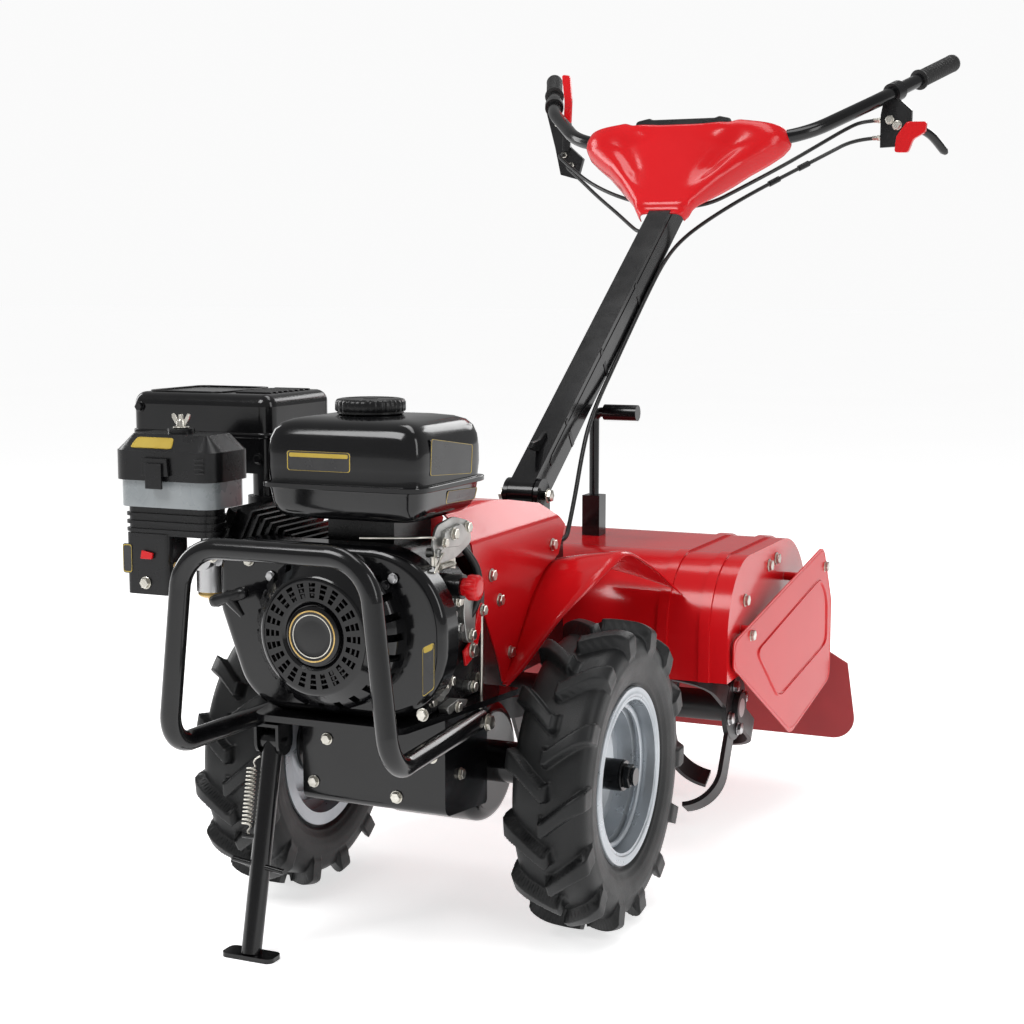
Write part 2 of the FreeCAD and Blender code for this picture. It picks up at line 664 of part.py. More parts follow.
def fan_cowl():
    """The blower housing in front of the crankcase, wide at the left and cut away low at the right."""
    body = new_body("fan_cowl")
    low = "base_top + seat_gap"
    corners = [
        ("cowl_right + 44", low, "70"), ("cowl_left", low, "92"), ("cowl_left", "cowl_top", "100"),
        ("cowl_right", "cowl_top", "42"), ("cowl_right", "crank_z + 12", "20"),
    ]
    sketch = outline(sketch_on(body, "YZ", "block_front + seat_gap"), corners)
    pad(body, sketch, "cowl_front - block_front - seat_gap")
    rounding(body, lambda edge: abs(edge.CenterOfMass.x - mm.cowl_front) < 0.1, "12")
    fan = circle_in(sketch_on(body, "YZ", "cowl_front - 1"), "0", "crank_z", "recoil_face + 14")
    pad(body, fan, "recoil_depth - 26")
    hub = circle_in(sketch_on(body, "YZ", "cowl_front - 1"), "0", "crank_z", "recoil_face - 6")
    pad(body, hub, "recoil_depth - 10")
    return body


def oil_cap():
    """The ribbed cap of the oil filler on the left of the crankcase."""
    body = new_body("oil_cap")
    sketch = circle_in(sketch_on(body, "XZ", "-140 - seat_gap"), "block_front - 28", "crank_z + 50", "16")
    pad(body, sketch, "22", back=True)
    return body


def recoil_starter():
    """The domed starter cover, hollow, with a ring of slots in front and another round its side."""
    body = new_body("recoil_starter", z="crank_z")
    start, end = "cowl_front + seat_gap", "cowl_front + recoil_depth"
    profile = [
        (start, "recoil_radius - 3"), (start, "recoil_radius"), (f"{start} + 24", "recoil_radius - 2", "14"),
        (end, "recoil_face", "8"), (end, "42"), (f"{end} - 4", "37"), (f"{end} - 4", "0"),
        (f"{end} - 7", "0"), (f"{end} - 7", "38"), (f"{end} - 3", "43"), (f"{end} - 3", "recoil_face - 2", "5"),
        (f"{start} + 23", "recoil_radius - 6", "11"),
    ]
    revolve(body, outline(sketch_on(body, "XZ"), profile))
    front_slot = [("46", "-3"), ("46", "3"), ("recoil_face - 6", "4.5"), ("recoil_face - 6", "-4.5")]
    cut = pocket(body, outline(sketch_on(body, "YZ", f"{end} + 1"), front_slot), "6")
    around(body, cut, "slot_count")
    side_slot = [(f"{start} + 8", "recoil_radius - 34"), (f"{end} - 16", "recoil_radius - 34"),
                 (f"{end} - 16", "recoil_radius + 4"), (f"{start} + 8", "recoil_radius + 4")]
    cut = pocket(body, outline(sketch_on(body, "XZ"), side_slot), "9", both=True)
    around(body, cut, "slot_count")
    return body


def rounded_block(label, low_corner, high_corner, round_by):
    """A block with rounded upright edges, from one corner to the other."""
    body = new_body(label)
    (x0, y0, z0), (x1, y1, z1) = low_corner, high_corner
    corners = [(x0, y0, round_by), (x1, y0, round_by), (x1, y1, round_by), (x0, y1, round_by)]
    pad(body, outline(sketch_on(body, "XY", z0), corners), f"{z1} - ({z0})")
    return body


def fuel_tank():
    """Two pressed halves that lean in from the seam, with a rounded top."""
    body = new_body("fuel_tank")

    def plan(inset, round_by):
        return [(f"tank_rear + {inset}", f"tank_right + {inset}", round_by),
                (f"tank_front - {inset}", f"tank_right + {inset}", round_by),
                (f"tank_front - {inset}", f"tank_left - {inset}", round_by),
                (f"tank_rear + {inset}", f"tank_left - {inset}", round_by)]

    pad(body, outline(sketch_on(body, "XY", "tank_seam - 4"), plan("0", "28")), "8")
    pad(body, outline(sketch_on(body, "XY", "tank_seam"), plan("7", "24")), "tank_top - tank_seam", slope="9")
    rounding(body, lambda edge: abs(edge.CenterOfMass.z - mm.tank_top) < 0.1, "10")
    lower = outline(sketch_on(body, "XY", "tank_seam"), plan("7", "24"))
    pad(body, lower, "tank_seam - tank_low", back=True, slope="14")
    return body


def fuel_cap():
    body = new_body("fuel_cap", x="(tank_front + tank_rear) / 2", y="(tank_left + tank_right) / 2 - 6",
                    z="tank_top + seat_gap")
    pad(body, circle_in(sketch_on(body, "XY"), "0", "0", "cap_radius"), "cap_height")
    rounding(body, lambda edge: edge.CenterOfMass.z > mm.cap_height - 0.1 and edge.Closed, "4")
    return body


def muffler():
    """The muffler in its louvred guard, on the pipe that rises from the exhaust port."""
    body = rounded_block("muffler", ("muffler_rear", "muffler_right", "muffler_low"),
                         ("muffler_front", "muffler_left", "muffler_top"), "18")
    rounding(body, lambda edge: abs(edge.CenterOfMass.z - mm.muffler_top) < 0.1, "16")
    pipe = circle_in(sketch_on(body, "XY", "port_top + seat_gap"), "port_x", "port_y", "17")
    pad(body, pipe, "muffler_low - port_top")
    louvres = sketch_on(body, "XZ", "-muffler_left - 1")
    for count in range(int(mm.louvre_count)):
        back = 24 + 14 * count
        outline(louvres, [(f"muffler_front - {back}", "muffler_low + 24"), (f"muffler_front - {back} - 6", "muffler_low + 24"),
                          (f"muffler_front - {back} - 6", "muffler_top - 14"), (f"muffler_front - {back}", "muffler_top - 14")])
    pocket(body, louvres, "5")
    return body


def filter_cover():
    """The air cleaner's cover: upright sides and a sloped edge round its flat top."""
    body = rounded_block("filter_cover", ("filter_rear", "filter_right", "filter_seam"),
                         ("filter_front", "filter_left", "filter_top - 20"), "24")
    top = [("filter_rear + 1", "filter_right + 1", "23"), ("filter_front - 1", "filter_right + 1", "23"),
           ("filter_front - 1", "filter_left - 1", "23"), ("filter_rear + 1", "filter_left - 1", "23")]
    pad(body, outline(sketch_on(body, "XY", "filter_top - 20"), top), "20", slope="44")
    middle = sketch_on(body, "XY", "filter_top - 1")
    circle_in(middle, "(filter_front + filter_rear) / 2", "(filter_left + filter_right) / 2", "17")
    pad(body, middle, "7")
    return body


def carburettor_cover():
    """The black box over the choke, with the ribbed intake elbow between it and the dust bowl."""
    body = rounded_block("carburettor_cover", ("filter_front - 66", "filter_right + 6", "box_low"),
                         ("filter_front - 20", "filter_right + 72", "filter_low - 36"), "8")
    elbow = [("filter_front - 68", "filter_right + 6", "12"), ("filter_front - 22", "filter_right + 6", "12"),
             ("filter_front - 22", "filter_right + 134", "20"), ("filter_front - 68", "filter_right + 134", "20")]
    pad(body, outline(sketch_on(body, "XY", "filter_low - 38"), elbow), "38 - seat_gap")
    for height in (34, 24, 14):
        rib = [("filter_front - 68", "filter_right + 3", "14"), ("filter_front - 19", "filter_right + 3", "14"),
               ("filter_front - 19", "filter_right + 137", "22"), ("filter_front - 68", "filter_right + 137", "22")]
        pad(body, outline(sketch_on(body, "XY", f"filter_low - {height}"), rib), "4")
    return body


def carburettor():
    """The carburettor beside the choke cover: a throat against the head and a round float bowl."""
    body = new_body("carburettor")
    throat_y, throat_z = "filter_right + 116", "filter_low - 62"
    throat = circle_in(sketch_on(body, "YZ", "cylinder_x + 52 + seat_gap"), throat_y, throat_z, "17")
    pad(body, throat, "54")
    flange = [(f"{throat_y} - 30", f"{throat_z} - 12", "10"), (f"{throat_y} + 26", f"{throat_z} - 12", "10"),
              (f"{throat_y} + 26", f"{throat_z} + 12", "10"), (f"{throat_y} - 30", f"{throat_z} + 12", "10")]
    pad(body, outline(sketch_on(body, "YZ", "cylinder_x + 72"), flange), "20")
    bowl = circle_in(sketch_on(body, "XY", f"{throat_z} - 46"), "cylinder_x + 78", throat_y, "20")
    pad(body, bowl, "40")
    neck = circle_in(sketch_on(body, "XY", throat_z), "cylinder_x + 78", throat_y, "14")
    pad(body, neck, "24 - seat_gap")
    return body


engine_block()
fan_cowl()
recoil_starter()
oil_cap()
fuel_tank()
fuel_cap()
rounded_block("filter_bowl", ("filter_rear + 5", "filter_right + 5", "filter_low"),
              ("filter_front - 5", "filter_left - 5", "filter_seam - seat_gap"), "20")
filter_cover()
carburettor_cover()
carburettor()
muffler()


# ---------------------------------------------------------------- bull bar and stand

def bull_bar():
    """One bent tube: two lower runs along the engine plate, two uprights and the top run."""
    points = []
    for side in (1, -1):
        run = [Vector(mm.bar_rear, side * mm.bar_half, BAR_LOW),
               Vector(mm.bar_front, side * mm.bar_foot, BAR_LOW),
               Vector(mm.bar_front, side * mm.bar_crown, mm.bar_top)]
        points += run if side > 0 else run[::-1]
    bends = [mm.bar_elbow, mm.bar_bend, mm.bar_bend, mm.bar_elbow]
    return feature("bull_bar", bent_tube(points, bends, mm.bar_radius))


def stand_bracket():
    """Two ears under the right lower tube, with the stand's pivot pin between them."""
    ear, inner = 4.0, mm.stand_radius + 1.0
    middle = Vector(mm.stand_x, -mm.bar_half, mm.stand_z)
    top = BAR_LOW - mm.bar_radius - mm.seat_gap
    drop = top - middle.z
    parts = [Part.makeBox(36, 2 * (inner + ear), ear, Vector(middle.x - 18, middle.y - inner - ear, top - ear))]
    for side in (1, -1):
        y = middle.y + side * inner - (ear if side < 0 else 0)
        parts.append(Part.makeBox(36, ear, drop, Vector(middle.x - 18, y, middle.z)))
        parts.append(Part.makeCylinder(18, ear, Vector(middle.x, y, middle.z), Vector(0, 1, 0)))
    pin = Part.makeCylinder(5, 2 * (inner + ear) + 8, middle - Vector(0, inner + ear + 4, 0), Vector(0, 1, 0))
    return feature("stand_bracket", pin.multiFuse(parts).removeSplitter())


def stand_leg():
    """The folding leg: a tube with a flattened eye at the pivot and a foot plate on the floor."""
    pivot = Vector(mm.stand_x, -mm.bar_half, mm.stand_z)
    foot = Vector(mm.stand_foot_x, -mm.bar_half, mm.foot_sheet - 1)
    leg = rod(pivot, foot, mm.stand_radius)
    eye = Part.makeCylinder(mm.stand_radius, 2 * mm.stand_radius - 1,
                            pivot - Vector(0, mm.stand_radius - 0.5, 0), Vector(0, 1, 0))
    sole = Part.makeBox(mm.foot_width, mm.foot_length, mm.foot_sheet,
                        Vector(foot.x - mm.foot_width / 2, foot.y - mm.foot_length / 2, 0))
    upright = [edge for edge in sole.Edges if abs(edge.tangentAt(edge.FirstParameter).z) > 0.9]
    sole = sole.makeFillet(9, upright)
    hole = Part.makeCylinder(5 + mm.shaft_gap, 60, pivot - Vector(0, 30, 0), Vector(0, 1, 0))
    below = Part.makeBox(200, 200, 50, foot - Vector(100, 100, foot.z + 50))
    return feature("stand_leg", leg.multiFuse([eye, sole]).cut(below).cut(hole).removeSplitter())


bull_bar()
stand_bracket()
stand_leg()


# ---------------------------------------------------------------- red covers

def clutch_cover():
    """An arched cover over the clutch, open below, in front and behind, with a sloping tail."""
    def arch(inset):
        side, top = f"cover_half - {inset}", f"cover_top - {inset}"
        foot = "cover_split - 1" if inset != "0" else "cover_split"
        return [(f"-({side})", foot), (f"-({side})", f"{top} - 42", "12"), (f"-({side}) + 34", top, "16"),
                (f"{side} - 34", top, "16"), (side, f"{top} - 42", "12"), (side, foot)]

    def profile(inset, beyond):
        top = f"cover_top - {inset}"
        return [(f"cover_front + {beyond}", "cover_split - 2"), (f"cover_nose + {beyond}", top),
                ("20", top), ("-cover_rear * 0.3", f"{top} - 7"),
                ("-cover_rear * 0.72", f"{top} - 20"), (f"-cover_rear - {beyond}", f"{top} - 56"),
                (f"-cover_rear * 0.87 - {beyond}", "cover_split + 20"), ("-cover_rear * 0.44", "cover_split - 2")]

    shapes = []
    for name, inset, beyond in (("outer", "0", "0"), ("inner", "sheet", "9")):
        across = prism(f"clutch_cover_{name}_arch", "YZ", arch(inset), "-2 * cover_rear", "2 * cover_nose")
        along = prism(f"clutch_cover_{name}_side", "XZ", profile(inset, beyond), "-2 * cover_half", "2 * cover_half")
        shapes.append(joined("Common", f"clutch_cover_{name}", [across, along]))
    item = joined("Cut", "clutch_cover_shell", shapes)
    place(item)
    return node(item, "clutch_cover")


def fender(side, name):
    """A side plate under the clutch cover, flaring out over the tyre and down to the hood."""
    inner = mm.cover_half - 2 * mm.sheet - mm.seat_gap
    reach, split = mm.wing_reach, mm.cover_split
    tip = Vector(mm.cover_front - 76, side * inner, split - 131)
    crease = [tip, tip + Vector(-34, 0, 31), tip + Vector(-96, 0, 103), Vector(-mm.cover_rear + 27, side * inner, split + 16),
              Vector(-mm.hood_front + 3, side * inner, split - 20)]
    lip = [tip + Vector(0, side * 6, 1), Vector(-49, side * (inner + 55), split - 79),
           Vector(-69, side * (reach - 8), split - 10), Vector(-138, side * reach, split + 36),
           Vector(-mm.hood_front - 11, side * (reach + 14), split - 55)]
    drop = Vector(0, 0, -mm.sheet)
    sections = [[a + drop, b + drop, b, a] for a, b in zip(crease, lip)]
    flare = skin(sections)
    front = [Vector(mm.cover_front, tip.y, split), tip + Vector(16, 0, 36)]
    top = [Vector(-mm.cover_rear + 27, tip.y, split + 36), Vector(-mm.cover_rear * 0.44, tip.y, split + 10),
           Vector(mm.cover_front, tip.y, split + 10)]
    plate = slab(crease[:4] + top + front, Vector(0, side * mm.sheet, 0))
    return feature(f"fender_{name}", flare.fuse(plate).removeSplitter())


clutch_cover()
for side, name in ((1, "left"), (-1, "right")):
    fender(side, name)


# ---------------------------------------------------------------- tine hood

def hood_arch(inset, deeper="0"):
    """The hood's side outline, drawn inset from its outer face and reaching deeper below its edge."""
    front, rear = f"-hood_front - {inset}", f"-hood_rear + {inset}"
    top = f"hood_top - {inset}"
    return [(front, f"hood_low - {deeper}"), (front, top, f"110 - {inset}"),
            (rear, top, f"165 - {inset}"), (rear, f"hood_tail - {deeper}")]


def tine_hood():
    """The arched shell over the rotor, with flat end plates and two pressed ribs on each side."""
    body = new_body("tine_hood")
    pad(body, outline(sketch_on(body, "XZ"), hood_arch("0")), "2 * hood_half", both=True)
    for across in ("hood_half * 0.66", "hood_half * 0.88"):
        for way in ("1", "-1"):
            rib = outline(sketch_on(body, "XZ", f"{way} * {across}"), hood_arch("-3"))
            pad(body, rib, "16", both=True)
    inside = outline(sketch_on(body, "XZ"), hood_arch("hood_sheet", "2"))
    pocket(body, inside, "2 * (hood_half - hood_sheet)", both=True)
    slot = [("-case_half - 4", "hood_low - 1"), ("-case_half - 4", "crank_z - 50"),
            ("case_half + 4", "crank_z - 50"), ("case_half + 4", "hood_low - 1")]
    pocket(body, outline(sketch_on(body, "YZ", "-hood_front - 60"), slot), "61", back=True)
    return body


def side_shield(side, name):
    """A six-sided plate bolted outside the hood's end plate, opening a little to the rear."""
    body = new_body(f"shield_{name}", x="-hood_front - 10", y=f"{side} * (hood_half + 5)",
                    turn=(Vector(0, 0, 1), f"{side} * -shield_flare"))
    reach = "-shield_length"
    corners = [("0", "hood_low + 62", "12"), ("0", "hood_low + 22", "12"),
               (f"{reach} * 0.57", "rotor_z - 52", "30"), (reach, "rotor_z + 4", "20"),
               (reach, "hood_top - 120", "20"), (f"{reach} * 0.9", "hood_top - 22", "24")]
    sketch = outline(sketch_on(body, "XZ"), corners)
    pad(body, sketch, "sheet", back=side > 0)
    for back, up in ((60, "hood_low + 70"), (300, "hood_top - 62")):
        spacer = circle_in(sketch_on(body, "XZ"), f"-{back}", up, "7")
        pad(body, spacer, f"(5 - seat_gap) / cos(shield_flare) + ({back} - 7) * tan(shield_flare)", back=side < 0)
    return body


def flap_rod():
    """The hinge rod behind the hood, held by an ear at each end."""
    x = -mm.hood_rear - mm.flap_pin - 5
    parts = []
    for side in (1, -1):
        y = side * (mm.hood_half - 8) - (4 if side < 0 else 0)
        low = Vector(-mm.hood_rear - mm.seat_gap, y, mm.flap_top - 6)
        parts.append(Part.makeBox(mm.flap_pin + 12, 4, 31, low - Vector(mm.flap_pin + 12, 0, 0)))
    rod_start = Vector(x, -mm.hood_half + 2, mm.flap_top)
    pin = Part.makeCylinder(mm.flap_pin, 2 * mm.hood_half - 4, rod_start, Vector(0, 1, 0))
    return feature("flap_rod", pin.multiFuse(parts).removeSplitter())


def rear_flap():
    """The flap that hangs from sleeves on its hinge rod."""
    body = new_body("rear_flap", x="-hood_rear - flap_pin - 5", z="flap_top", turn=(Vector(0, 1, 0), "9"))
    drop = "flap_top - flap_low"
    corners = [("-hood_half + 34", "0"), ("hood_half - 34", "0"),
               ("hood_half + 66", "-60"), ("hood_half + 80", f"-({drop})", "40"),
               ("-hood_half - 80", f"-({drop})", "40"), ("-hood_half - 66", "-60")]
    pad(body, outline(sketch_on(body, "YZ", "-flap_pin - 2.5"), corners), "sheet")
    for centre in ("-hood_half * 0.62", "0", "hood_half * 0.62"):
        sleeve = sketch_on(body, "XZ", centre)
        circle_in(sleeve, "0", "0", "flap_pin + 3")
        pad(body, sleeve, "70", both=True)
    bore = sketch_on(body, "XZ")
    circle_in(bore, "0", "0", "flap_pin + 0.3")
    pocket(body, bore, "3 * hood_half", both=True)
    return body


tine_hood()
for side, name in ((1, "left"), (-1, "right")):
    side_shield(side, name)
flap_rod()
rear_flap()


# ---------------------------------------------------------------- tine rotor

def tine_shape():
    """One blade, standing up from the rotor axis: a flat arm that curls sideways at its tip."""
    curl, thick, wide = 62.0, 7.0, 34.0
    arm = mm.rotor_radius - curl
    section = Part.Wire(Part.makePolygon([Vector(-wide / 2, -thick / 2, 30), Vector(wide / 2, -thick / 2, 30),
                                          Vector(wide / 2, thick / 2, 30), Vector(-wide / 2, thick / 2, 30),
                                          Vector(-wide / 2, -thick / 2, 30)]))
    path = Part.Wire([
        Part.LineSegment(Vector(0, 0, 30), Vector(0, 0, arm)).toShape(),
        Part.Arc(Vector(0, 0, arm), Vector(0, curl * (1 - math.cos(math.radians(40))),
                                           arm + curl * math.sin(math.radians(40))),
                 Vector(0, curl * (1 - math.cos(math.radians(80))),
                        arm + curl * math.sin(math.radians(80)))).toShape()])
    return path.makePipeShell([section], True, False)


def tine_reel(side, name):
    """Three flanges on a sleeve, each with four blades that curl towards or from the middle."""
    blade = tine_shape()
    inner, outer = mm.case_half + 4, mm.rotor_half
    sleeve = Part.makeCylinder(mm.rotor_shaft + 9, outer - inner, Vector(0, inner, 0), Vector(0, 1, 0))
    parts = []
    for index, (y, curls) in enumerate(((inner + 30, 1), (inner + 110, 1), (outer - 14, -1))):
        parts.append(Part.makeCylinder(52, 8, Vector(0, y - 4, 0), Vector(0, 1, 0)))
        for step in range(4):
            one = blade.copy()
            if curls < 0:
                one = one.mirror(Vector(), Vector(0, 1, 0))
            one.translate(Vector(0, y, 0))
            one.rotate(Vector(), Vector(0, 1, 0), 90 * step + 30 * index)
            parts.append(one)
    bore = Part.makeCylinder(mm.rotor_shaft + mm.seat_gap, 2 * outer, Vector(0, 0, 0), Vector(0, 1, 0))
    reel = sleeve.multiFuse(parts).cut(bore)
    if side < 0:
        reel = reel.mirror(Vector(), Vector(0, 1, 0))
    return feature(f"tine_reel_{name}", reel, x="-rotor_x", z="rotor_z")


def tine_shaft():
    body = new_body("tine_shaft", x="-rotor_x", z="rotor_z")
    circle_in(sketch := sketch_on(body, "XZ"), "0", "0", "rotor_shaft")
    pad(body, sketch, "2 * rotor_half", both=True)
    return body


tine_shaft()
for side, name in ((1, "left"), (-1, "right")):
    tine_reel(side, name)


# ---------------------------------------------------------------- mast and handlebar

def mast_bracket():
    """Two cheeks on the gearbox that hold the foot of the mast, with its pivot bolt."""
    inner, cheek, eye = mm.mast_width / 2 + 1.5, 7.0, 25.0
    base = mm.gear_top + mm.seat_gap
    pivot = Vector(-mm.mast_x, 0, mm.mast_z)
    reach = pivot.z - base
    parts = [Part.makeBox(3 * eye, 2 * (inner + cheek), 4, Vector(pivot.x - 1.5 * eye, -inner - cheek, base))]
    for side in (1, -1):
        y = side * inner - (cheek if side < 0 else 0)
        parts.append(Part.makeBox(2 * eye, cheek, reach, Vector(pivot.x - eye, y, base)))
        parts.append(Part.makeCylinder(eye, cheek, Vector(pivot.x, y, pivot.z), Vector(0, 1, 0)))
    bolt = Part.makeCylinder(7, 2 * (inner + cheek) + 14, pivot - Vector(0, inner + cheek + 7, 0), Vector(0, 1, 0))
    return feature("mast_bracket", bolt.multiFuse(parts).removeSplitter())


def mast():
    """The rectangular tube that rises from the pivot to the handlebar, with its eye on the bolt."""
    body = new_body("mast", x="-mast_x", z="mast_z", turn=(Vector(0, 1, 0), "mast_angle"))
    depth = "mast_depth / 2"
    nose = "mast_depth / 2 - 4"
    side_view = [("24", f"-({depth})", nose), ("24", depth, nose),
                 ("-mast_length", depth), ("-mast_length", f"-({depth})")]
    pad(body, outline(sketch_on(body, "XZ"), side_view), "mast_width", both=True)
    eye = circle_in(sketch_on(body, "XZ"), "0", "0", "7 + shaft_gap")
    pocket(body, eye, "mast_width + 2", both=True)
    wall = "mast_depth / 2 - sheet"
    inside = [("-40", f"-({wall})"), ("-40", wall), ("-mast_length - 1", wall), ("-mast_length - 1", f"-({wall})")]
    pocket(body, outline(sketch_on(body, "XZ"), inside), "mast_width - 2 * sheet", both=True)
    return body


def grip_line(side):
    """The handlebar's outer run: the bend it starts from, and the grip's end."""
    bend = Vector(-BAR_X - 145, side * (mm.grip_y - 92), BAR_Z + 77)
    return bend, Vector(-BAR_X - mm.grip_back, side * mm.grip_y, BAR_Z + mm.grip_rise)


def handlebar():
    """One bent tube from grip to grip."""
    points = []
    for side in (1, -1):
        bend, end = grip_line(side)
        run = [end, bend, Vector(-BAR_X, side * mm.bar_straight, BAR_Z)]
        points += run if side > 0 else run[::-1]
    bends = [200.0, 150.0, 150.0, 200.0]
    tube = bent_tube(points, bends, mm.grip_bar)
    return feature("handlebar", tube.cut(bent_tube(points, bends, mm.grip_bar - mm.sheet)))


def grip(side, name):
    bend, end = grip_line(side)
    along = (end - bend).normalize()
    start = end - along * mm.grip_length
    sleeve = Part.makeCylinder(mm.grip_radius, mm.grip_length + 4, start, along)
    hole = Part.makeCylinder(mm.grip_bar + mm.seat_gap, mm.grip_length + 0.3, start, along)
    return feature(f"grip_{name}", sleeve.cut(hole))


mast_bracket()
mast()
handlebar()
for side, name in ((1, "left"), (-1, "right")):
    grip(side, name)


def bar_bracket():
    """The welded block that carries the handlebar on the mast's upper end."""
    along = Vector(-math.cos(RISE), 0, math.sin(RISE))
    up = Vector(math.sin(RISE), 0, math.cos(RISE))
    pivot = Vector(-mm.mast_x, -mm.mast_width / 2 + 3, mm.mast_z)
    face = pivot + up * (mm.mast_depth / 2 + mm.seat_gap)
    low, high = face + along * (mm.mast_length - 70), face + along * mm.mast_length
    top = BAR_Z - mm.grip_bar - mm.seat_gap
    corners = [low, high, Vector(-BAR_X - 16, low.y, top), Vector(-BAR_X + 16, low.y, top)]
    return feature("bar_bracket", slab(corners, Vector(0, mm.mast_width - 6, 0)))


def bar_cover():
    """The pressed cover over the middle of the handlebar: narrow at its foot, wide above, open behind."""
    foot = "(mast_length - 107)"
    body = new_body("bar_cover", x=f"-mast_x - {foot} * cos(mast_angle)", z=f"mast_z + {foot} * sin(mast_angle)",
                    turn=(Vector(0, -1, 0), "cover_lean"))
    skin_at = "(mast_depth / 2 / cos(90 - mast_angle - cover_lean) + seat_gap)"
    outer = [("-48", "0", "16"), ("48", "0", "16"), ("118", "120", "70"), ("185", "cover_rise - 33", "18"),
             ("190", "cover_rise", "12"), ("-190", "cover_rise", "12"), ("-185", "cover_rise - 33", "18"),
             ("-118", "120", "70")]
    pad(body, outline(sketch_on(body, "YZ", "-26"), outer), f"26 + {skin_at} + sheet")
    front = mm.mast_depth / 2 / math.sin(math.radians(mm.mast_angle + mm.cover_lean)) + mm.seat_gap + mm.sheet
    rounding(body, lambda edge: abs(edge.CenterOfMass.x - front) < 0.1, "5")
    inner = [("-46", "2.5", "14"), ("46", "2.5", "14"), ("116", "122", "71"), ("182.5", "cover_rise - 31", "16"),
             ("187.5", "cover_rise - sheet", "10"), ("-187.5", "cover_rise - sheet", "10"),
             ("-182.5", "cover_rise - 31", "16"), ("-116", "122", "71")]
    pocket(body, outline(sketch_on(body, "YZ", "-27"), inner), f"27 + {skin_at}", back=True)
    notch = [("-27", "160"), ("2", "160"), ("2", "cover_rise - sheet - 0.5"), ("-27", "cover_rise - sheet - 0.5")]
    pocket(body, outline(sketch_on(body, "XZ"), notch), "400", both=True)
    mast_way = [("-27", "-1"), (skin_at, "-1"), (skin_at, "60"), ("-27", "60")]
    pocket(body, outline(sketch_on(body, "XZ"), mast_way), "mast_width + 8", both=True)
    return body


def near_bar(back, across, up):
    """A point given from the middle of the handlebar."""
    return Vector(-BAR_X - back, across, BAR_Z + up)


def control(side, name):
    """A clamp on the handlebar with the bracket that holds a lever and the cables."""
    bend, end = grip_line(side)
    along = (end - bend).normalize()
    spot = bend + along * 45
    ring = Part.makeCylinder(mm.grip_bar + 6, 24, spot, along)
    bore = Part.makeCylinder(mm.grip_bar + mm.seat_gap, 120, spot - along * 50, along)
    face = LEFT_BRACKET if side > 0 else RIGHT_BRACKET
    rear = BRACKET_FRONT + BRACKET_DEPTH
    plate = slab([near_bar(rear, across, up) for across, up in face], Vector(BRACKET_DEPTH, 0, 0))
    return feature(f"control_{name}", ring.fuse(plate).cut(bore))


def levers():
    """The hand lever under the left grip and the upright lever on the right bracket."""
    start = near_bar(BRACKET_FRONT + BRACKET_DEPTH + mm.seat_gap, 360, 45)
    feature("lever_left", bent_tube([start, start - Vector(37, 0, 0), near_bar(300, 418, -10)], [18.0], 5.5))
    blade = [(-316, 8), (-303, 8), (-299, 60), (-298, 104), (-303, 152), (-319, 154), (-313, 104), (-314, 60)]
    seat = BRACKET_FRONT - mm.seat_gap
    feature("lever_right", slab([near_bar(seat, across, up) for across, up in blade], Vector(4, 0, 0)))


def cable(name, points):
    """A sheathed cable along its route, with bends as wide as its runs allow."""
    radii = []
    for before, here, after in zip(points, points[1:], points[2:]):
        into, out = here - before, after - here
        radii.append(0.45 * min(into.Length, out.Length) / math.tan(into.getAngle(out) / 2))
    length = sum((there - here).Length for here, there in zip(points, points[1:]))
    print(f"cable_{name}: {length:.0f} mm, bend radii {[round(radius) for radius in radii]}")
    return feature(f"cable_{name}", bent_tube(points, radii, mm.cable_radius))


def cables():
    """Four control cables: one down the mast to the gearbox, three short ones to the mast's sides."""
    left, right = BRACKET_FRONT + BRACKET_DEPTH / 2, BRACKET_FRONT - mm.seat_gap
    inner = 317 - mm.seat_gap
    mast_side = mm.mast_width / 2 + mm.seat_gap
    lay = mast_side + mm.cable_radius + 0.1
    foot = Vector(-mm.mast_x, 0, mm.mast_z)
    down = [near_bar(left, inner, 13), near_bar(left, 270, 13), near_bar(155, 222, -17),
            near_bar(90, 160, -59), near_bar(15, 105, -101), near_bar(-53, 57, -144),
            near_bar(-108, 30, -178), near_bar(-180, lay, -215)]
    for back, across, up in ((468, lay, 297), (382, lay, 235), (300, lay + 0.6, 176), (225, 28, 129),
                             (160, 36, 89), (112, 44, 44), (70, 52, -2), (32, 58, -42), (10, 60, -70)):
        down.append(foot + Vector(-back, across, up))
    down.append(foot + Vector(-10, mm.neck_half + mm.seat_gap, -70))
    cable("mast", down)
    cable("left", [near_bar(left, inner, 45), near_bar(left, 284, 45), near_bar(150, 262, 29),
                   near_bar(93, 226, -3), near_bar(37, 178, -41), near_bar(-15, 118, -81),
                   near_bar(-53, 58, -117), near_bar(-53, mast_side, -117)])
    cable("right_low", [near_bar(right, -297, -21), near_bar(137, -297, -21), near_bar(90, -245, -53),
                        near_bar(25, -180, -93), near_bar(-35, -118, -127), near_bar(-85, -72, -153),
                        near_bar(-113, -48, -164), near_bar(-113, -mast_side, -164)])
    cable("right_high", [near_bar(right, -312, -1), near_bar(135, -312, -1), near_bar(80, -262, -29),
                         near_bar(25, -200, -65), near_bar(-20, -130, -93), near_bar(-47, -62, -111),
                         near_bar(-47, -mast_side, -111)])


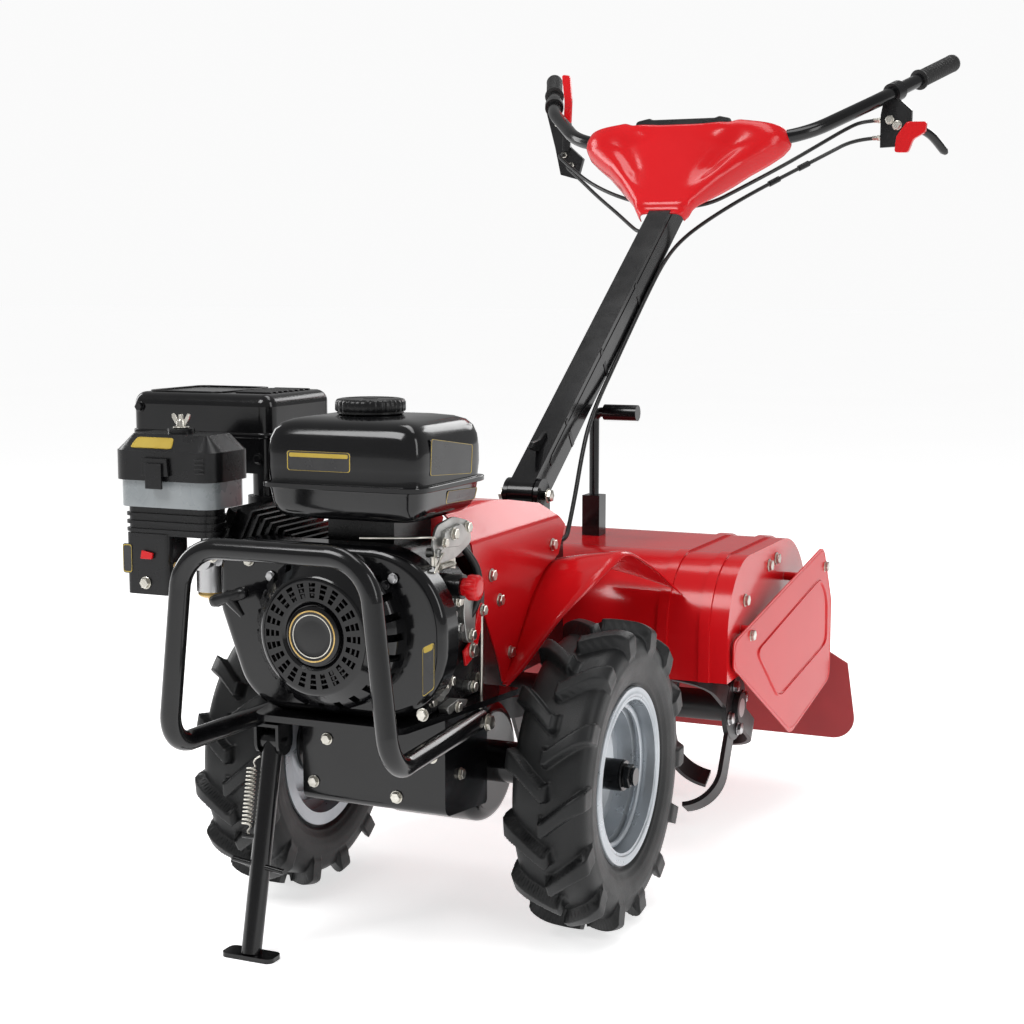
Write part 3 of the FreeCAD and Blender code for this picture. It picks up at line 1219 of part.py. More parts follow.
def depth_crank():
    """The cranked rod that sets the working depth, in its socket on the hood."""
    reach, wide, tall = 73.0, 30.0, 66.0
    base = Vector(-mm.crank_x, 0, mm.hood_top + mm.seat_gap)
    socket = Part.makeBox(wide, wide, tall, base - Vector(wide / 2, wide / 2, 0))
    bore = Part.makeCylinder(8 + mm.seat_gap, tall, base + Vector(0, 0, 4))
    feature("crank_socket", socket.cut(bore))
    top = Vector(-mm.crank_x, 0, mm.crank_top)
    crank = bent_tube([base + Vector(0, 0, 4 + mm.seat_gap), top, top + Vector(0, reach, 0)], [14.0], 8)
    knob = Part.makeCylinder(13, reach - 16, top + Vector(0, 18, 0), Vector(0, 1, 0))
    feature("depth_crank", crank.fuse(knob).removeSplitter())


bar_bracket()
bar_cover()
BRACKET_DEPTH = 10.0
BRACKET_FRONT = 184.0  # behind the middle of the handlebar
LEFT_BRACKET = [(322, 81), (352, 81), (374, 61), (374, -3), (317, -5), (317, 55)]
RIGHT_BRACKET = [(-352, 81), (-322, 81), (-302, 15), (-274, -9), (-286, -49), (-322, -39), (-334, 15)]
for side, name in ((1, "left"), (-1, "right")):
    control(side, name)
levers()
cables()
depth_crank()


# ---------------------------------------------------------------- check and export

doc.recompute()
for item in doc.Objects:
    if "Invalid" in item.State or "Error" in item.State:
        raise RuntimeError(f"{item.Label} failed: {item.State}")

os.makedirs("parts", exist_ok=True)
for item in NODES:
    if item.Shape.isNull() or not item.Shape.isValid():
        raise RuntimeError(f"{item.Label} has no valid shape")
    item.Shape.exportStep(f"parts/{item.Label}.step")
    print(f"{item.Label}: {len(item.Shape.Solids)} solid, {item.Shape.Volume / 1000:.1f} cm3")
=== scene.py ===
"""Looks of the garden tiller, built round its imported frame. Metres, +X forward, +Y to its left, +Z up.

Places on the machine are given in mm: ahead of the axle, to the left of the centre plane, over the floor.
"""

import json
import math

import bmesh
import bpy
import numpy as np
from mathutils import Matrix, Vector


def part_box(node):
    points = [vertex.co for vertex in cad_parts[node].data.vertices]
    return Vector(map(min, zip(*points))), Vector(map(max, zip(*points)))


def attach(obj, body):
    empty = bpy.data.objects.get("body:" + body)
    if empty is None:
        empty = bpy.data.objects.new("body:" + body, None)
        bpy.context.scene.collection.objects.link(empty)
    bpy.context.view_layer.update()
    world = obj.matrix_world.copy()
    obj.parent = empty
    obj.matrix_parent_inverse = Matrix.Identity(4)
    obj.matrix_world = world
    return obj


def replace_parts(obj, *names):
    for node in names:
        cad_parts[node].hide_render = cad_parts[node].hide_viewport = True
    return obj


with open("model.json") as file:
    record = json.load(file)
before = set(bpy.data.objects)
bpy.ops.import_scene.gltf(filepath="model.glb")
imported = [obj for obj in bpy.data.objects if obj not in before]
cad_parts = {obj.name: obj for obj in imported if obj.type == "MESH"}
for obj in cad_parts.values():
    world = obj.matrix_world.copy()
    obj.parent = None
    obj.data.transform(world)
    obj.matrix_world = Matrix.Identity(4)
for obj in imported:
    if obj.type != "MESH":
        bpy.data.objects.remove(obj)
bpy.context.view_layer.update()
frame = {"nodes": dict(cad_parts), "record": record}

axle_low, axle_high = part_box("axle")
AXLE = (axle_low + axle_high) / 2
MM = 0.001
SIDES = ((1, "left"), (-1, "right"))
FRONT, BACK, LEFT, RIGHT, UP, DOWN = (1, 0, 0), (-1, 0, 0), (0, 1, 0), (0, -1, 0), (0, 0, 1), (0, 0, -1)


def at(x, y, z):
    """A point given in mm: ahead of the axle, to the left of the centre plane, over the floor."""
    return Vector((AXLE.x + x * MM, y * MM, z * MM))


# ---------------------------------------------------------------- materials

def wire(tree, kind, inputs=None, **settings):
    """Adds a shader node, sets its properties and fills its inputs with values or other sockets."""
    node = tree.nodes.new(kind)
    for name, setting in settings.items():
        setattr(node, name, setting)
    for name, given in (inputs or {}).items():
        if isinstance(given, bpy.types.NodeSocket):
            tree.links.new(given, node.inputs[name])
        else:
            node.inputs[name].default_value = given
    return node


def noise(tree, spot, scale, detail=3.0, low=0.35, high=0.65):
    """Soft noise stretched to the range 0 to 1."""
    field = wire(tree, "ShaderNodeTexNoise", {"Vector": spot, "Scale": scale, "Detail": detail})
    stretched = {"Value": field.outputs["Fac"], "From Min": low, "From Max": high}
    return wire(tree, "ShaderNodeMapRange", stretched).outputs[0]


def finish(name, dark, light, rough, metal=0.0, coat=0.0, mottle=9.0, peel=(220.0, 0.0002, 0.12), specular=0.5):
    """A surface whose colour and roughness drift between two values. Its fine bump, the peel, is given by
    its scale, its height in metres and its strength."""
    made = bpy.data.materials.new(name)
    made.use_nodes = True
    tree = made.node_tree
    shader = tree.nodes["Principled BSDF"]
    spot = wire(tree, "ShaderNodeTexCoord").outputs["Object"]
    drift = noise(tree, spot, mottle)
    colour = wire(tree, "ShaderNodeMix", {"Factor": drift, "A": (*dark, 1), "B": (*light, 1)}, data_type="RGBA")
    tree.links.new(colour.outputs["Result"], shader.inputs["Base Color"])
    smudge = noise(tree, spot, mottle * 3.0, 4.0, 0.2, 0.8)
    gloss = wire(tree, "ShaderNodeMapRange", {"Value": smudge, "To Min": rough[0], "To Max": rough[1]})
    tree.links.new(gloss.outputs[0], shader.inputs["Roughness"])
    scale, depth, strength = peel
    height = wire(tree, "ShaderNodeTexNoise", {"Vector": spot, "Scale": scale, "Detail": 2.0})
    bump = wire(tree, "ShaderNodeBump", {"Height": height.outputs["Fac"], "Distance": depth, "Strength": strength})
    tree.links.new(bump.outputs["Normal"], shader.inputs["Normal"])
    shader.inputs["Metallic"].default_value = metal
    shader.inputs["Specular IOR Level"].default_value = specular
    shader.inputs["Coat Weight"].default_value = coat
    shader.inputs["Coat Roughness"].default_value = 0.05
    return made


INK = {"dark": (0.0025, 0.0025, 0.003), "light": (0.005, 0.005, 0.0055), "specular": 0.35}
PALETTE = {
    "red_paint": dict(dark=(0.55, 0.005, 0.008), light=(0.62, 0.008, 0.012), rough=(0.15, 0.23), coat=0.08,
                      mottle=4.0, specular=0.32),
    "black_paint": dict(INK, rough=(0.12, 0.22), coat=0.15),
    "black_gloss": dict(INK, rough=(0.10, 0.18), coat=0.2),
    "black_plastic": dict(dark=(0.005, 0.005, 0.0055), light=(0.009, 0.009, 0.010), rough=(0.22, 0.34),
                          peel=(900.0, 0.0003, 0.4), specular=0.35),
    "grey_plastic": dict(dark=(0.22, 0.24, 0.25), light=(0.32, 0.34, 0.35), rough=(0.22, 0.34), coat=0.3),
    "grip_rubber": dict(dark=(0.006, 0.006, 0.006), light=(0.010, 0.010, 0.010), rough=(0.5, 0.65)),
    "engine_aluminium": dict(dark=(0.0035, 0.0035, 0.004), light=(0.008, 0.008, 0.0085), rough=(0.2, 0.32),
                             peel=(500.0, 0.0004, 0.4), specular=0.35),
    "bright_steel": dict(dark=(0.42, 0.42, 0.43), light=(0.60, 0.60, 0.60), rough=(0.22, 0.4), metal=1.0),
    "galvanised_steel": dict(dark=(0.36, 0.39, 0.42), light=(0.50, 0.53, 0.56), rough=(0.24, 0.36), metal=0.6,
                             mottle=12.0),
    "tyre_rubber": dict(dark=(0.006, 0.0063, 0.0067), light=(0.013, 0.0135, 0.014), rough=(0.34, 0.5),
                        peel=(700.0, 0.0005, 0.5), specular=0.3),
    "tine_steel": dict(dark=(0.008, 0.008, 0.009), light=(0.02, 0.02, 0.021), rough=(0.3, 0.45)),
    "cable_sheath": dict(dark=(0.005, 0.005, 0.005), light=(0.008, 0.008, 0.008), rough=(0.3, 0.4)),
}
LOOKS = {name: finish(name, **look) for name, look in PALETTE.items()}
ZINC = finish("zinc", (0.50, 0.48, 0.43), (0.68, 0.66, 0.60), (0.24, 0.4), metal=1.0, mottle=60.0)
BRASS = finish("brass", (0.50, 0.34, 0.12), (0.62, 0.44, 0.18), (0.25, 0.4), metal=1.0, mottle=60.0)
CAST = finish("cast_aluminium", (0.34, 0.34, 0.33), (0.52, 0.52, 0.50), (0.28, 0.46), metal=0.9, mottle=25.0,
              peel=(600.0, 0.0006, 0.5))
BARE_LABEL = finish("bare_label", (0.02, 0.02, 0.021), (0.03, 0.03, 0.031), (0.2, 0.3), mottle=20.0)
LABEL_EDGE = finish("label_edge", (0.42, 0.29, 0.03), (0.50, 0.36, 0.05), (0.3, 0.4), mottle=20.0)
# A darker copy of the red paint: painted shade for the rear flap, which is red like the hood.
SHADED_RED = finish("painted_shade_red", (0.30, 0.006, 0.009), (0.36, 0.009, 0.012), (0.3, 0.42), coat=0.15)

for part in frame["record"]["subparts"]:
    mesh = frame["nodes"][part["node"]].data
    mesh.materials.clear()
    mesh.materials.append(LOOKS[part["material_slot"]])
for node in ("hub_left", "hub_right", "depth_crank", "crank_socket", "axle"):
    frame["nodes"][node].data.materials[0] = LOOKS["black_paint"]
# The rear flap gets the darker red copy, painted shade over its own red paint.
frame["nodes"]["rear_flap"].data.materials[0] = SHADED_RED


# ---------------------------------------------------------------- floor, light and camera

FLOOR_REACH = 60.0
FLOOR_GLOW, SKY_LIGHT, SKY_SEEN = 0.66, 0.33, 0.96
LAMPS = (  # name, place, aim, width and height, watts
    ("key", (2.4, -0.9, 2.9), (0.1, 0.0, 0.5), (1.3, 1.3), 52.0),
    ("near_side", (1.0, 3.0, 1.9), (0.0, 0.0, 0.5), (0.8, 2.2), 24.0),
    ("far_side", (-0.3, -3.2, 1.8), (0.0, 0.0, 0.5), (0.8, 2.2), 34.0),
    ("top", (-0.3, 0.2, 3.4), (0.0, 0.0, 0.3), (2.6, 0.8), 26.0),
    ("rear", (-3.2, 0.6, 2.2), (-0.2, 0.0, 0.6), (1.6, 1.2), 26.0),
)
EYE_AHEAD, EYE_LEFT, EYE_HEIGHT = 2.164, 1.055, 0.846
EYE_YAW, EYE_PITCH = math.radians(23.8), math.radians(7.2)
FOCAL_LENGTH, SENSOR_WIDTH = 62.9, 36.0


def area_light(name, spot, aim, size, power):
    """A soft rectangular lamp that points at its aim."""
    light = bpy.data.lights.new(name, "AREA")
    light.shape = "RECTANGLE"
    light.size, light.size_y = size
    light.energy = power
    holder = bpy.data.objects.new(name, light)
    holder.location = spot
    holder.rotation_euler = (Vector(aim) - Vector(spot)).to_track_quat("-Z", "Y").to_euler()
    bpy.context.scene.collection.objects.link(holder)


def studio():
    """A very wide pale floor under a pale sky, with soft lights all round."""
    floor_mesh = bpy.data.meshes.new("floor")
    corners = [(x * FLOOR_REACH, y * FLOOR_REACH, 0) for x, y in ((-1, -1), (1, -1), (1, 1), (-1, 1))]
    floor_mesh.from_pydata(corners, [], [(0, 1, 2, 3)])
    floor = bpy.data.objects.new("floor", floor_mesh)
    pale = finish("floor", (0.90, 0.90, 0.90), (0.92, 0.92, 0.92), (0.7, 0.8), mottle=1.0)
    glow = pale.node_tree.nodes["Principled BSDF"]
    glow.inputs["Emission Color"].default_value = (1.0, 1.0, 1.0, 1.0)
    glow.inputs["Emission Strength"].default_value = FLOOR_GLOW
    floor_mesh.materials.append(pale)
    bpy.context.scene.collection.objects.link(floor)
    world = bpy.data.worlds.new("studio")
    world.use_nodes = True
    tree = world.node_tree
    seen = wire(tree, "ShaderNodeLightPath").outputs["Is Camera Ray"]
    strength = wire(tree, "ShaderNodeMapRange", {"Value": seen, "To Min": SKY_LIGHT, "To Max": SKY_SEEN})
    tree.links.new(strength.outputs[0], tree.nodes["Background"].inputs["Strength"])
    tree.nodes["Background"].inputs["Color"].default_value = (1.0, 1.0, 1.0, 1.0)
    bpy.context.scene.world = world
    for lamp in LAMPS:
        area_light(*lamp)


def camera():
    """Stands ahead of the axle and to its left, a little above the tank."""
    lens = bpy.data.cameras.new("camera")
    lens.lens, lens.sensor_width = FOCAL_LENGTH, SENSOR_WIDTH
    lens.clip_end = 200.0
    eye = bpy.data.objects.new("camera", lens)
    eye.location = (AXLE.x + EYE_AHEAD, EYE_LEFT, EYE_HEIGHT)
    look = Vector((-math.cos(EYE_YAW) * math.cos(EYE_PITCH), -math.sin(EYE_YAW) * math.cos(EYE_PITCH),
                   -math.sin(EYE_PITCH)))
    eye.rotation_euler = look.to_track_quat("-Z", "Y").to_euler()
    bpy.context.scene.collection.objects.link(eye)
    bpy.context.scene.camera = eye


# ---------------------------------------------------------------- lines and outlines

def smooth_step(value):
    """Runs from 0 to 1 with a soft start and end; works on numbers and arrays."""
    value = np.clip(value, 0.0, 1.0)
    return value * value * (3 - 2 * value)


def spline(points, steps):
    """A smooth line through points (Catmull-Rom)."""
    padded = [points[0] * 2 - points[1], *points, points[-1] * 2 - points[-2]]
    line = []
    for a, b, c, d in zip(padded, padded[1:], padded[2:], padded[3:]):
        for step in range(steps):
            t = step / steps
            line.append(0.5 * (2 * b + (c - a) * t + (2 * a - 5 * b + 4 * c - d) * t ** 2
                               + (3 * b - a - 3 * c + d) * t ** 3))
    return line + [points[-1]]


def rectangle(u, v, far_u, far_v):
    """The four corners of a rectangle, in order round it."""
    return [(u, v), (far_u, v), (far_u, far_v), (u, far_v)]


def rounded(corners, radius, steps=6):
    """A closed outline of (u, v) pairs with its corners rounded."""
    line = []
    count = len(corners)
    for index, corner in enumerate(corners):
        here = Vector(corner)
        before, after = Vector(corners[index - 1]), Vector(corners[(index + 1) % count])
        cut = min(radius, 0.45 * (before - here).length, 0.45 * (after - here).length)
        start, end = here + (before - here).normalized() * cut, here + (after - here).normalized() * cut
        for step in range(steps + 1):
            t = step / steps
            line.append(start * (1 - t) ** 2 + here * 2 * t * (1 - t) + end * t * t)
    return line


def shrunk(line, by):
    """An outline moved towards its middle by a length."""
    middle = sum(line, Vector((0, 0))) / len(line)
    return [point + (middle - point).normalized() * by for point in line]


# ---------------------------------------------------------------- adding shapes to a mesh

def skin(bm, rings, closed=False):
    """Joins closed rings of vertices with faces, one after another, and the last to the first if closed."""
    for low, high in zip(rings, rings[1:] + rings[:1] if closed else rings[1:]):
        for corners in zip(low, low[1:] + low[:1], high[1:] + high[:1], high):
            bm.faces.new(corners)


def flat(bm, corners, thick):
    """Adds a plate: points in one plane, pushed out along a vector in mm."""
    low = [bm.verts.new(corner) for corner in corners]
    high = [bm.verts.new(corner + Vector(thick) * MM) for corner in corners]
    bm.faces.new(low)
    bm.faces.new(high[::-1])
    skin(bm, [low, high])


def front_plate(bm, outline, x, thick):
    """Adds a plate that faces forward, its outline given as (y, z)."""
    flat(bm, [at(x, y, z) for y, z in outline], (thick, 0, 0))


def side_plate(bm, outline, y, thick):
    """Adds a plate that faces sideways, its outline given as (x, z)."""
    flat(bm, [at(x, y, z) for x, z in outline], (0, thick, 0))


def rib(bm, line, to_world, section, closed=False):
    """Adds a rib along a closed outline. Its section is (inset, height) pairs in mm, joined up if closed."""
    rings = [[bm.verts.new(to_world(*point, level)) for point in shrunk(line, inset)] for inset, level in section]
    skin(bm, rings, closed)


def lathe(bm, profile, spot, axis, sides=32, wave=None, ring=False):
    """Adds a turned shape: (radius, along) pairs in mm about an axis; wave(turn) scales the radius.
    A ring's profile is closed on itself, any other shape is closed with a disc at each end."""
    turned = Matrix.Translation(spot) @ Vector(axis).normalized().to_track_quat("Z", "Y").to_matrix().to_4x4()
    rings = []
    for radius, along in profile:
        circle = []
        for step in range(sides):
            turn = 2 * math.pi * step / sides
            reach = radius * (wave(turn) if wave else 1.0) * MM
            corner = Vector((reach * math.cos(turn), reach * math.sin(turn), along * MM))
            circle.append(bm.verts.new(turned @ corner))
        rings.append(circle)
    skin(bm, rings, closed=ring)
    if not ring:
        bm.faces.new(rings[0])
        bm.faces.new(rings[-1])


def bolt(bm, spot, axis, size=5.0):
    """Adds a washer with a hexagon head, size being the bolt's own radius in mm."""
    washer = [(size * 1.9, 0), (size * 2.0, 0.4), (size * 2.0, 1.3), (size * 1.9, 1.6)]
    head = [(size * 1.6, 1.5), (size * 1.7, 2.0), (size * 1.7, size + 1), (size * 1.45, size + 1.8)]
    lathe(bm, washer, spot, axis)
    lathe(bm, head, spot, axis, sides=6)


# ---------------------------------------------------------------- making pieces

def place(obj, slot, body, look=None):
    """Gives an object its material, links it and lets it ride on a body."""
    obj.data.materials.append(look or LOOKS[slot])
    bpy.context.scene.collection.objects.link(obj)
    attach(obj, body)
    return obj


def piece(name, bm, slot, body="machine", look=None, bevel=0.0, angle=35.0):
    """Turns a bmesh into a piece, smooth up to an angle, its edges rounded by bevel mm."""
    mesh = bpy.data.meshes.new(name)
    bmesh.ops.recalc_face_normals(bm, faces=bm.faces)
    for face in bm.faces:
        face.smooth = True
    for edge in bm.edges:
        if len(edge.link_faces) == 2 and edge.calc_face_angle(0.0) > math.radians(angle):
            edge.smooth = False
    bm.to_mesh(mesh)
    bm.free()
    obj = place(bpy.data.objects.new(name, mesh), slot, body, look)
    if bevel:
        soft = obj.modifiers.new("bevel", "BEVEL")
        soft.width, soft.segments, soft.limit_method = bevel * MM, 3, "ANGLE"
        soft.harden_normals = True
    return obj


def bolts(name, spots, body="machine", look=ZINC):
    """One piece with all the bolts of a list: (place, axis, size)."""
    bm = bmesh.new()
    for spot, axis, size in spots:
        bolt(bm, at(*spot), axis, size)
    return piece(name, bm, "bright_steel", body, look)


def wire_piece(name, points, radius, slot, body="machine", look=None, smooth=True):
    """A round bar or tube along points, as one curve."""
    data = bpy.data.curves.new(name, "CURVE")
    data.dimensions = "3D"
    data.bevel_depth = radius * MM
    data.bevel_resolution = 4
    data.resolution_u = 8
    data.use_fill_caps = True
    line = data.splines.new("NURBS" if smooth else "POLY")
    line.points.add(len(points) - 1)
    for knot, point in zip(line.points, points):
        knot.co = (*point, 1.0)
    if smooth:
        line.order_u = 3
        line.use_endpoint_u = True
    return place(bpy.data.objects.new(name, data), slot, body, look)


def surface(name, grid, slot, body="machine", thick=None, closed=False, smooth=40.0):
    """A sheet through rows of points, with its thickness in mm, or a solid whose rows are closed rings."""
    bm = bmesh.new()
    rows = [[bm.verts.new(point) for point in row] for row in grid]
    if closed:
        skin(bm, rows)
        bm.faces.new(rows[0][::-1])
        bm.faces.new(rows[-1])
    else:
        for low, high in zip(rows, rows[1:]):
            for corners in zip(low, low[1:], high[1:], high):
                bm.faces.new(corners)
    obj = piece(name, bm, slot, body, angle=smooth)
    if thick:
        shell = obj.modifiers.new("sheet", "SOLIDIFY")
        shell.thickness, shell.offset = thick * MM, 0.0
    return obj


# ---------------------------------------------------------------- wheels

AXLE_Z = 205  # height of the axle
TYRE_Y = 227  # middle of a tyre
TYRE_BARS = 14  # on each half of the tread


def tyre_section(samples):
    """Half of the carcass from bead to crown: y, radius and outward direction at even steps."""
    corners = [(39.6, 106), (39.8, 119), (45.5, 129), (51.2, 147), (51.4, 164), (47.5, 178), (37, 185.8),
               (18, 188.0), (0, 188.4)]
    past_crown = (-corners[-2][0], corners[-2][1])
    steps = 24
    line = spline([np.array(corner, float) for corner in (*corners, past_crown)], steps)
    line = np.array(line[:steps * (len(corners) - 1) + 1])
    run = np.concatenate([[0], np.cumsum(np.linalg.norm(np.diff(line, axis=0), axis=1))])
    even = np.linspace(0, run[-1], samples)
    y, radius = np.interp(even, run, line[:, 0]), np.interp(even, run, line[:, 1])
    along = np.gradient(np.stack([y, radius], 1), axis=0)
    out = np.stack([along[:, 1], -along[:, 0]], 1)
    out /= np.linalg.norm(out, axis=1)[:, None]
    return y, radius, out


def tyre(side, name):
    """A farm tyre: rounded carcass, ringed side walls and two rows of bars that meet in a V."""
    around, samples = 720, 46
    first_bar, pitch, lead = math.radians(7.2), 2 * math.pi / TYRE_BARS, math.radians(12.5)
    tread_radius, half_width, flare, flank, bar_height = 196, 12.0, 3.5, 2.6, 16.4
    shoulder, shoulder_run, widest = 161, 19, 54.7
    y, radius, out = tyre_section(samples)
    y = np.concatenate([y, -y[-2::-1]])
    radius = np.concatenate([radius, radius[-2::-1]])
    out = np.concatenate([out, (out * (-1, 1))[-2::-1]])
    turn = np.linspace(0, 2 * math.pi, around, endpoint=False)[:, None]
    share = np.minimum(np.abs(y) / 50, 1.0)
    height = np.zeros((around, len(y)))
    for half, start in ((1, 0.0), (-1, pitch / 2)):
        middle = first_bar + start + lead * (1 - share)
        off = (turn - middle[None, :] + pitch / 2) % pitch - pitch / 2
        bar = smooth_step((half_width + flare * share ** 3 - np.abs(off) * tread_radius) / flank)
        height = np.maximum(height, bar * smooth_step((half * y + 6.5) / 2.5)[None, :])
    height *= smooth_step((radius - shoulder) / shoulder_run)[None, :] * bar_height
    ring = sum(depth * smooth_step(1 - np.abs(radius - ring_radius) / 2.2)
               for ring_radius, depth in ((125, 1.3), (136, 0.8), (158, 1.2)))
    lean = out * (0.42, 1.0)
    lean /= np.linalg.norm(lean, axis=1)[:, None]
    reach_y = np.clip(y + lean[:, 0] * height + out[:, 0] * ring, -widest, widest)
    reach_r = radius + lean[:, 1] * height + out[:, 1] * ring
    hub = at(0, side * TYRE_Y, AXLE_Z)
    spots = np.stack([hub.x + reach_r * np.sin(turn) * MM, hub.y + reach_y * MM,
                      hub.z + reach_r * np.cos(turn) * MM], 2)
    columns = len(y)
    faces = []
    for row in range(around):
        here, there = row * columns, (row + 1) % around * columns
        faces += [(here + k, here + k + 1, there + k + 1, there + k) for k in range(columns - 1)]
    mesh = bpy.data.meshes.new(f"tyre_tread_{name}")
    mesh.from_pydata(spots.reshape(-1, 3).tolist(), [], faces)
    mesh.polygons.foreach_set("use_smooth", [True] * len(mesh.polygons))
    obj = place(bpy.data.objects.new(f"tyre_tread_{name}", mesh), "tyre_rubber", f"wheel_{name}")
    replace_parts(obj, f"tyre_{name}")


def wheel_hardware(side, name):
    """Wheel bolts round the hub, the axle's nut with its washer, the valve and the rim's rolled edges."""
    out, wheel = (0, side, 0), f"wheel_{name}"
    bolt_circle, nut_at = 34, at(0, side * 261.2, AXLE_Z)
    bm = bmesh.new()
    for count in range(5):
        turn = 2 * math.pi * count / 5 + 0.3
        bolt(bm, at(bolt_circle * math.sin(turn), side * 213.3, AXLE_Z + bolt_circle * math.cos(turn)), out, 5.5)
    lathe(bm, [(20, 0), (20.5, 0.5), (20.5, 2.4), (20, 2.8)], nut_at, out)
    lathe(bm, [(14.5, 2.8), (16.5, 3.6), (16.5, 11), (14.5, 12.4)], nut_at, out, sides=6)
    lathe(bm, [(2.6, 0), (2.6, 5), (4.0, 6), (4.0, 14), (2.4, 17)], at(62, side * 216, AXLE_Z - 44),
          (0.2, side, -0.15), 16)
    lip = bmesh.new()
    lathe(lip, [(103.7, -3.4), (104.4, 0.2), (106.4, 1.7), (109.4, 1.4), (112.0, 0.3), (114.6, 0.6), (117.2, 1.2),
                (118.4, -0.6), (118.4, -3.4)], at(0, side * 270, AXLE_Z), out, 160, ring=True)
    lathe(lip, [(89.0, 0.5), (92.5, 2.6), (96, 2.0), (98, -1.2), (96, -3.0), (90, -3.0)],
          at(0, side * 252, AXLE_Z), out, 160, ring=True)
    piece(f"rim_lip_{name}", lip, "galvanised_steel", wheel, angle=60)
    piece(f"wheel_bolts_{name}", bm, "black_paint", wheel)


# ---------------------------------------------------------------- engine

CRANK_Z = 435  # height of the crankshaft, in the middle of the starter
COWL_X = 302.2  # just off the front of the fan cowl
BLOCK_Y = 104  # left face of the crankcase, low down


def caps():
    """The scalloped fuel cap and the ribbed red oil cap."""
    bm = bmesh.new()
    low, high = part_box("fuel_cap")
    foot = Vector(((low.x + high.x) / 2, (low.y + high.y) / 2, low.z))
    lathe(bm, [(39, 0), (41, 1.5), (41, 4)], foot, UP, 96)
    lathe(bm, [(42.6, 4), (43.6, 5.5), (43.4, 15), (41.5, 18.2), (37, 19.4), (30, 19.6), (28, 18.6), (10, 18.6),
               (8, 19.6)], foot, UP, 192, lambda turn: 1 - 0.022 * max(0.0, math.cos(28 * turn)) ** 2)
    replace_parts(piece("fuel_cap_ribbed", bm, "black_plastic", angle=50), "fuel_cap")
    bm = bmesh.new()
    low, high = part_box("oil_cap")
    foot = Vector(((low.x + high.x) / 2, low.y, (low.z + high.z) / 2))
    lathe(bm, [(11, 0), (11, 6), (15.4, 7.5), (15.8, 9), (15.6, 19), (14, 21), (9, 21.8)], foot, LEFT, 96,
          lambda turn: 1 - 0.07 * max(0.0, math.cos(12 * turn)))
    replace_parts(piece("oil_cap_ribbed", bm, "red_paint", angle=50), "oil_cap")


def muffler_guard():
    """Ribs and a pressed field on the guard's top, a seam and ribs on its sides, its screws and the tail pipe."""
    front, back, inner, outer, top = 150, -15, -180, -400, 704
    bm = bmesh.new()
    for count in range(8):
        x = front - 34 - 14 * count
        flat(bm, [at(*corner, top - 1) for corner in rectangle(x - 3, -197, x + 3, -252)], (0, 0, 3.2))
    field = rounded([(134, -384), (134, -266), (2, -266), (2, -384)], 16)
    rib(bm, field, lambda x, y, out: at(x, y, top + out), ((0, -0.3), (0, 2.0), (5, 2.0), (5, -0.3)), closed=True)
    piece("guard_ribs", bm, "black_paint", bevel=1.0)
    bm = bmesh.new()
    rings = []
    for grow, z in ((-1.0, 646), (1.2, 646.6), (1.8, 648), (1.8, 652), (1.2, 653.4), (-1.0, 654)):
        line = rounded([(front + grow, inner + grow), (front + grow, outer - grow), (back - grow, outer - grow),
                        (back - grow, inner + grow)], 20, 8)
        rings.append([bm.verts.new(at(x, y, z)) for x, y in line])
    skin(bm, rings)
    piece("guard_seam", bm, "black_paint", angle=50)
    size = 3.6
    bolts("guard_bolts", [((front + 0.2, -384, 620), FRONT, size), ((front + 0.2, -384, 684), FRONT, size),
                          ((front + 0.2, -198, 620), FRONT, size), ((back - 0.2, -380, 684), BACK, size),
                          ((back - 0.2, -200, 620), BACK, size), ((60, outer - 0.2, 628), RIGHT, size)],
          look=LOOKS["black_paint"])
    bm = bmesh.new()
    for count in range(11):
        x = 132 - 13 * count
        side_plate(bm, rectangle(x - 2.6, 662, x + 2.6, 692), outer + 0.6, -2.8)
    piece("guard_side_ribs", bm, "black_paint", bevel=1.0)
    bm = bmesh.new()
    lathe(bm, [(13, 0), (13, 16), (11, 16.4), (10.6, 2)], at(back, -330, 636), BACK, 32)
    piece("tail_pipe", bm, "bright_steel")


def recoil_details():
    """The starter's centre plate with its rings, its screws and the T-shaped pull handle."""
    middle = at(353.6, 0, CRANK_Z)
    bm = bmesh.new()
    lathe(bm, [(34.5, -2), (35.6, 0.8), (35.6, 2.6), (33, 3.6), (27, 3.9), (25.5, 3.4), (18, 3.7), (9, 3.9),
               (2, 4.0)], middle, FRONT, 64)
    for inner in (51.0, 57.4):
        lathe(bm, [(inner, -5), (inner, 1.6), (inner + 0.6, 2.2), (inner + 2.0, 2.2), (inner + 2.6, 1.6),
                   (inner + 2.6, -5)], middle, FRONT, 96, ring=True)
    piece("starter_plate", bm, "black_gloss")
    for name, inner, outer, look in (("gold", 29.5, 31.2, BRASS), ("silver", 25.2, 26.4, ZINC)):
        bm = bmesh.new()
        lathe(bm, [(inner, 3.2), (inner, 4.3), (outer, 4.3), (outer, 3.2)], middle, FRONT, 64, ring=True)
        piece(f"starter_ring_{name}", bm, "bright_steel", look=look)
    bolts("starter_screws", [((304, 110 * math.cos(turn), CRANK_Z + 98 * math.sin(turn)), FRONT, 3.2)
                             for turn in (0.75, 2.5, 5.3)], look=LOOKS["bright_steel"])
    bm = bmesh.new()
    lathe(bm, [(4, -27), (6.5, -25.5), (8.2, -18), (7.0, -6), (8.8, 0), (7.0, 6), (8.2, 18), (6.5, 25.5), (4, 27)],
          at(336, -128, 470), (0, 0.95, 0.3), 32)
    lathe(bm, [(7.5, 0), (6, 10), (4.2, 20), (3.4, 26)], at(336, -127, 468), (-0.2, 0.55, -0.8), 24)
    piece("pull_handle", bm, "black_plastic", angle=60)


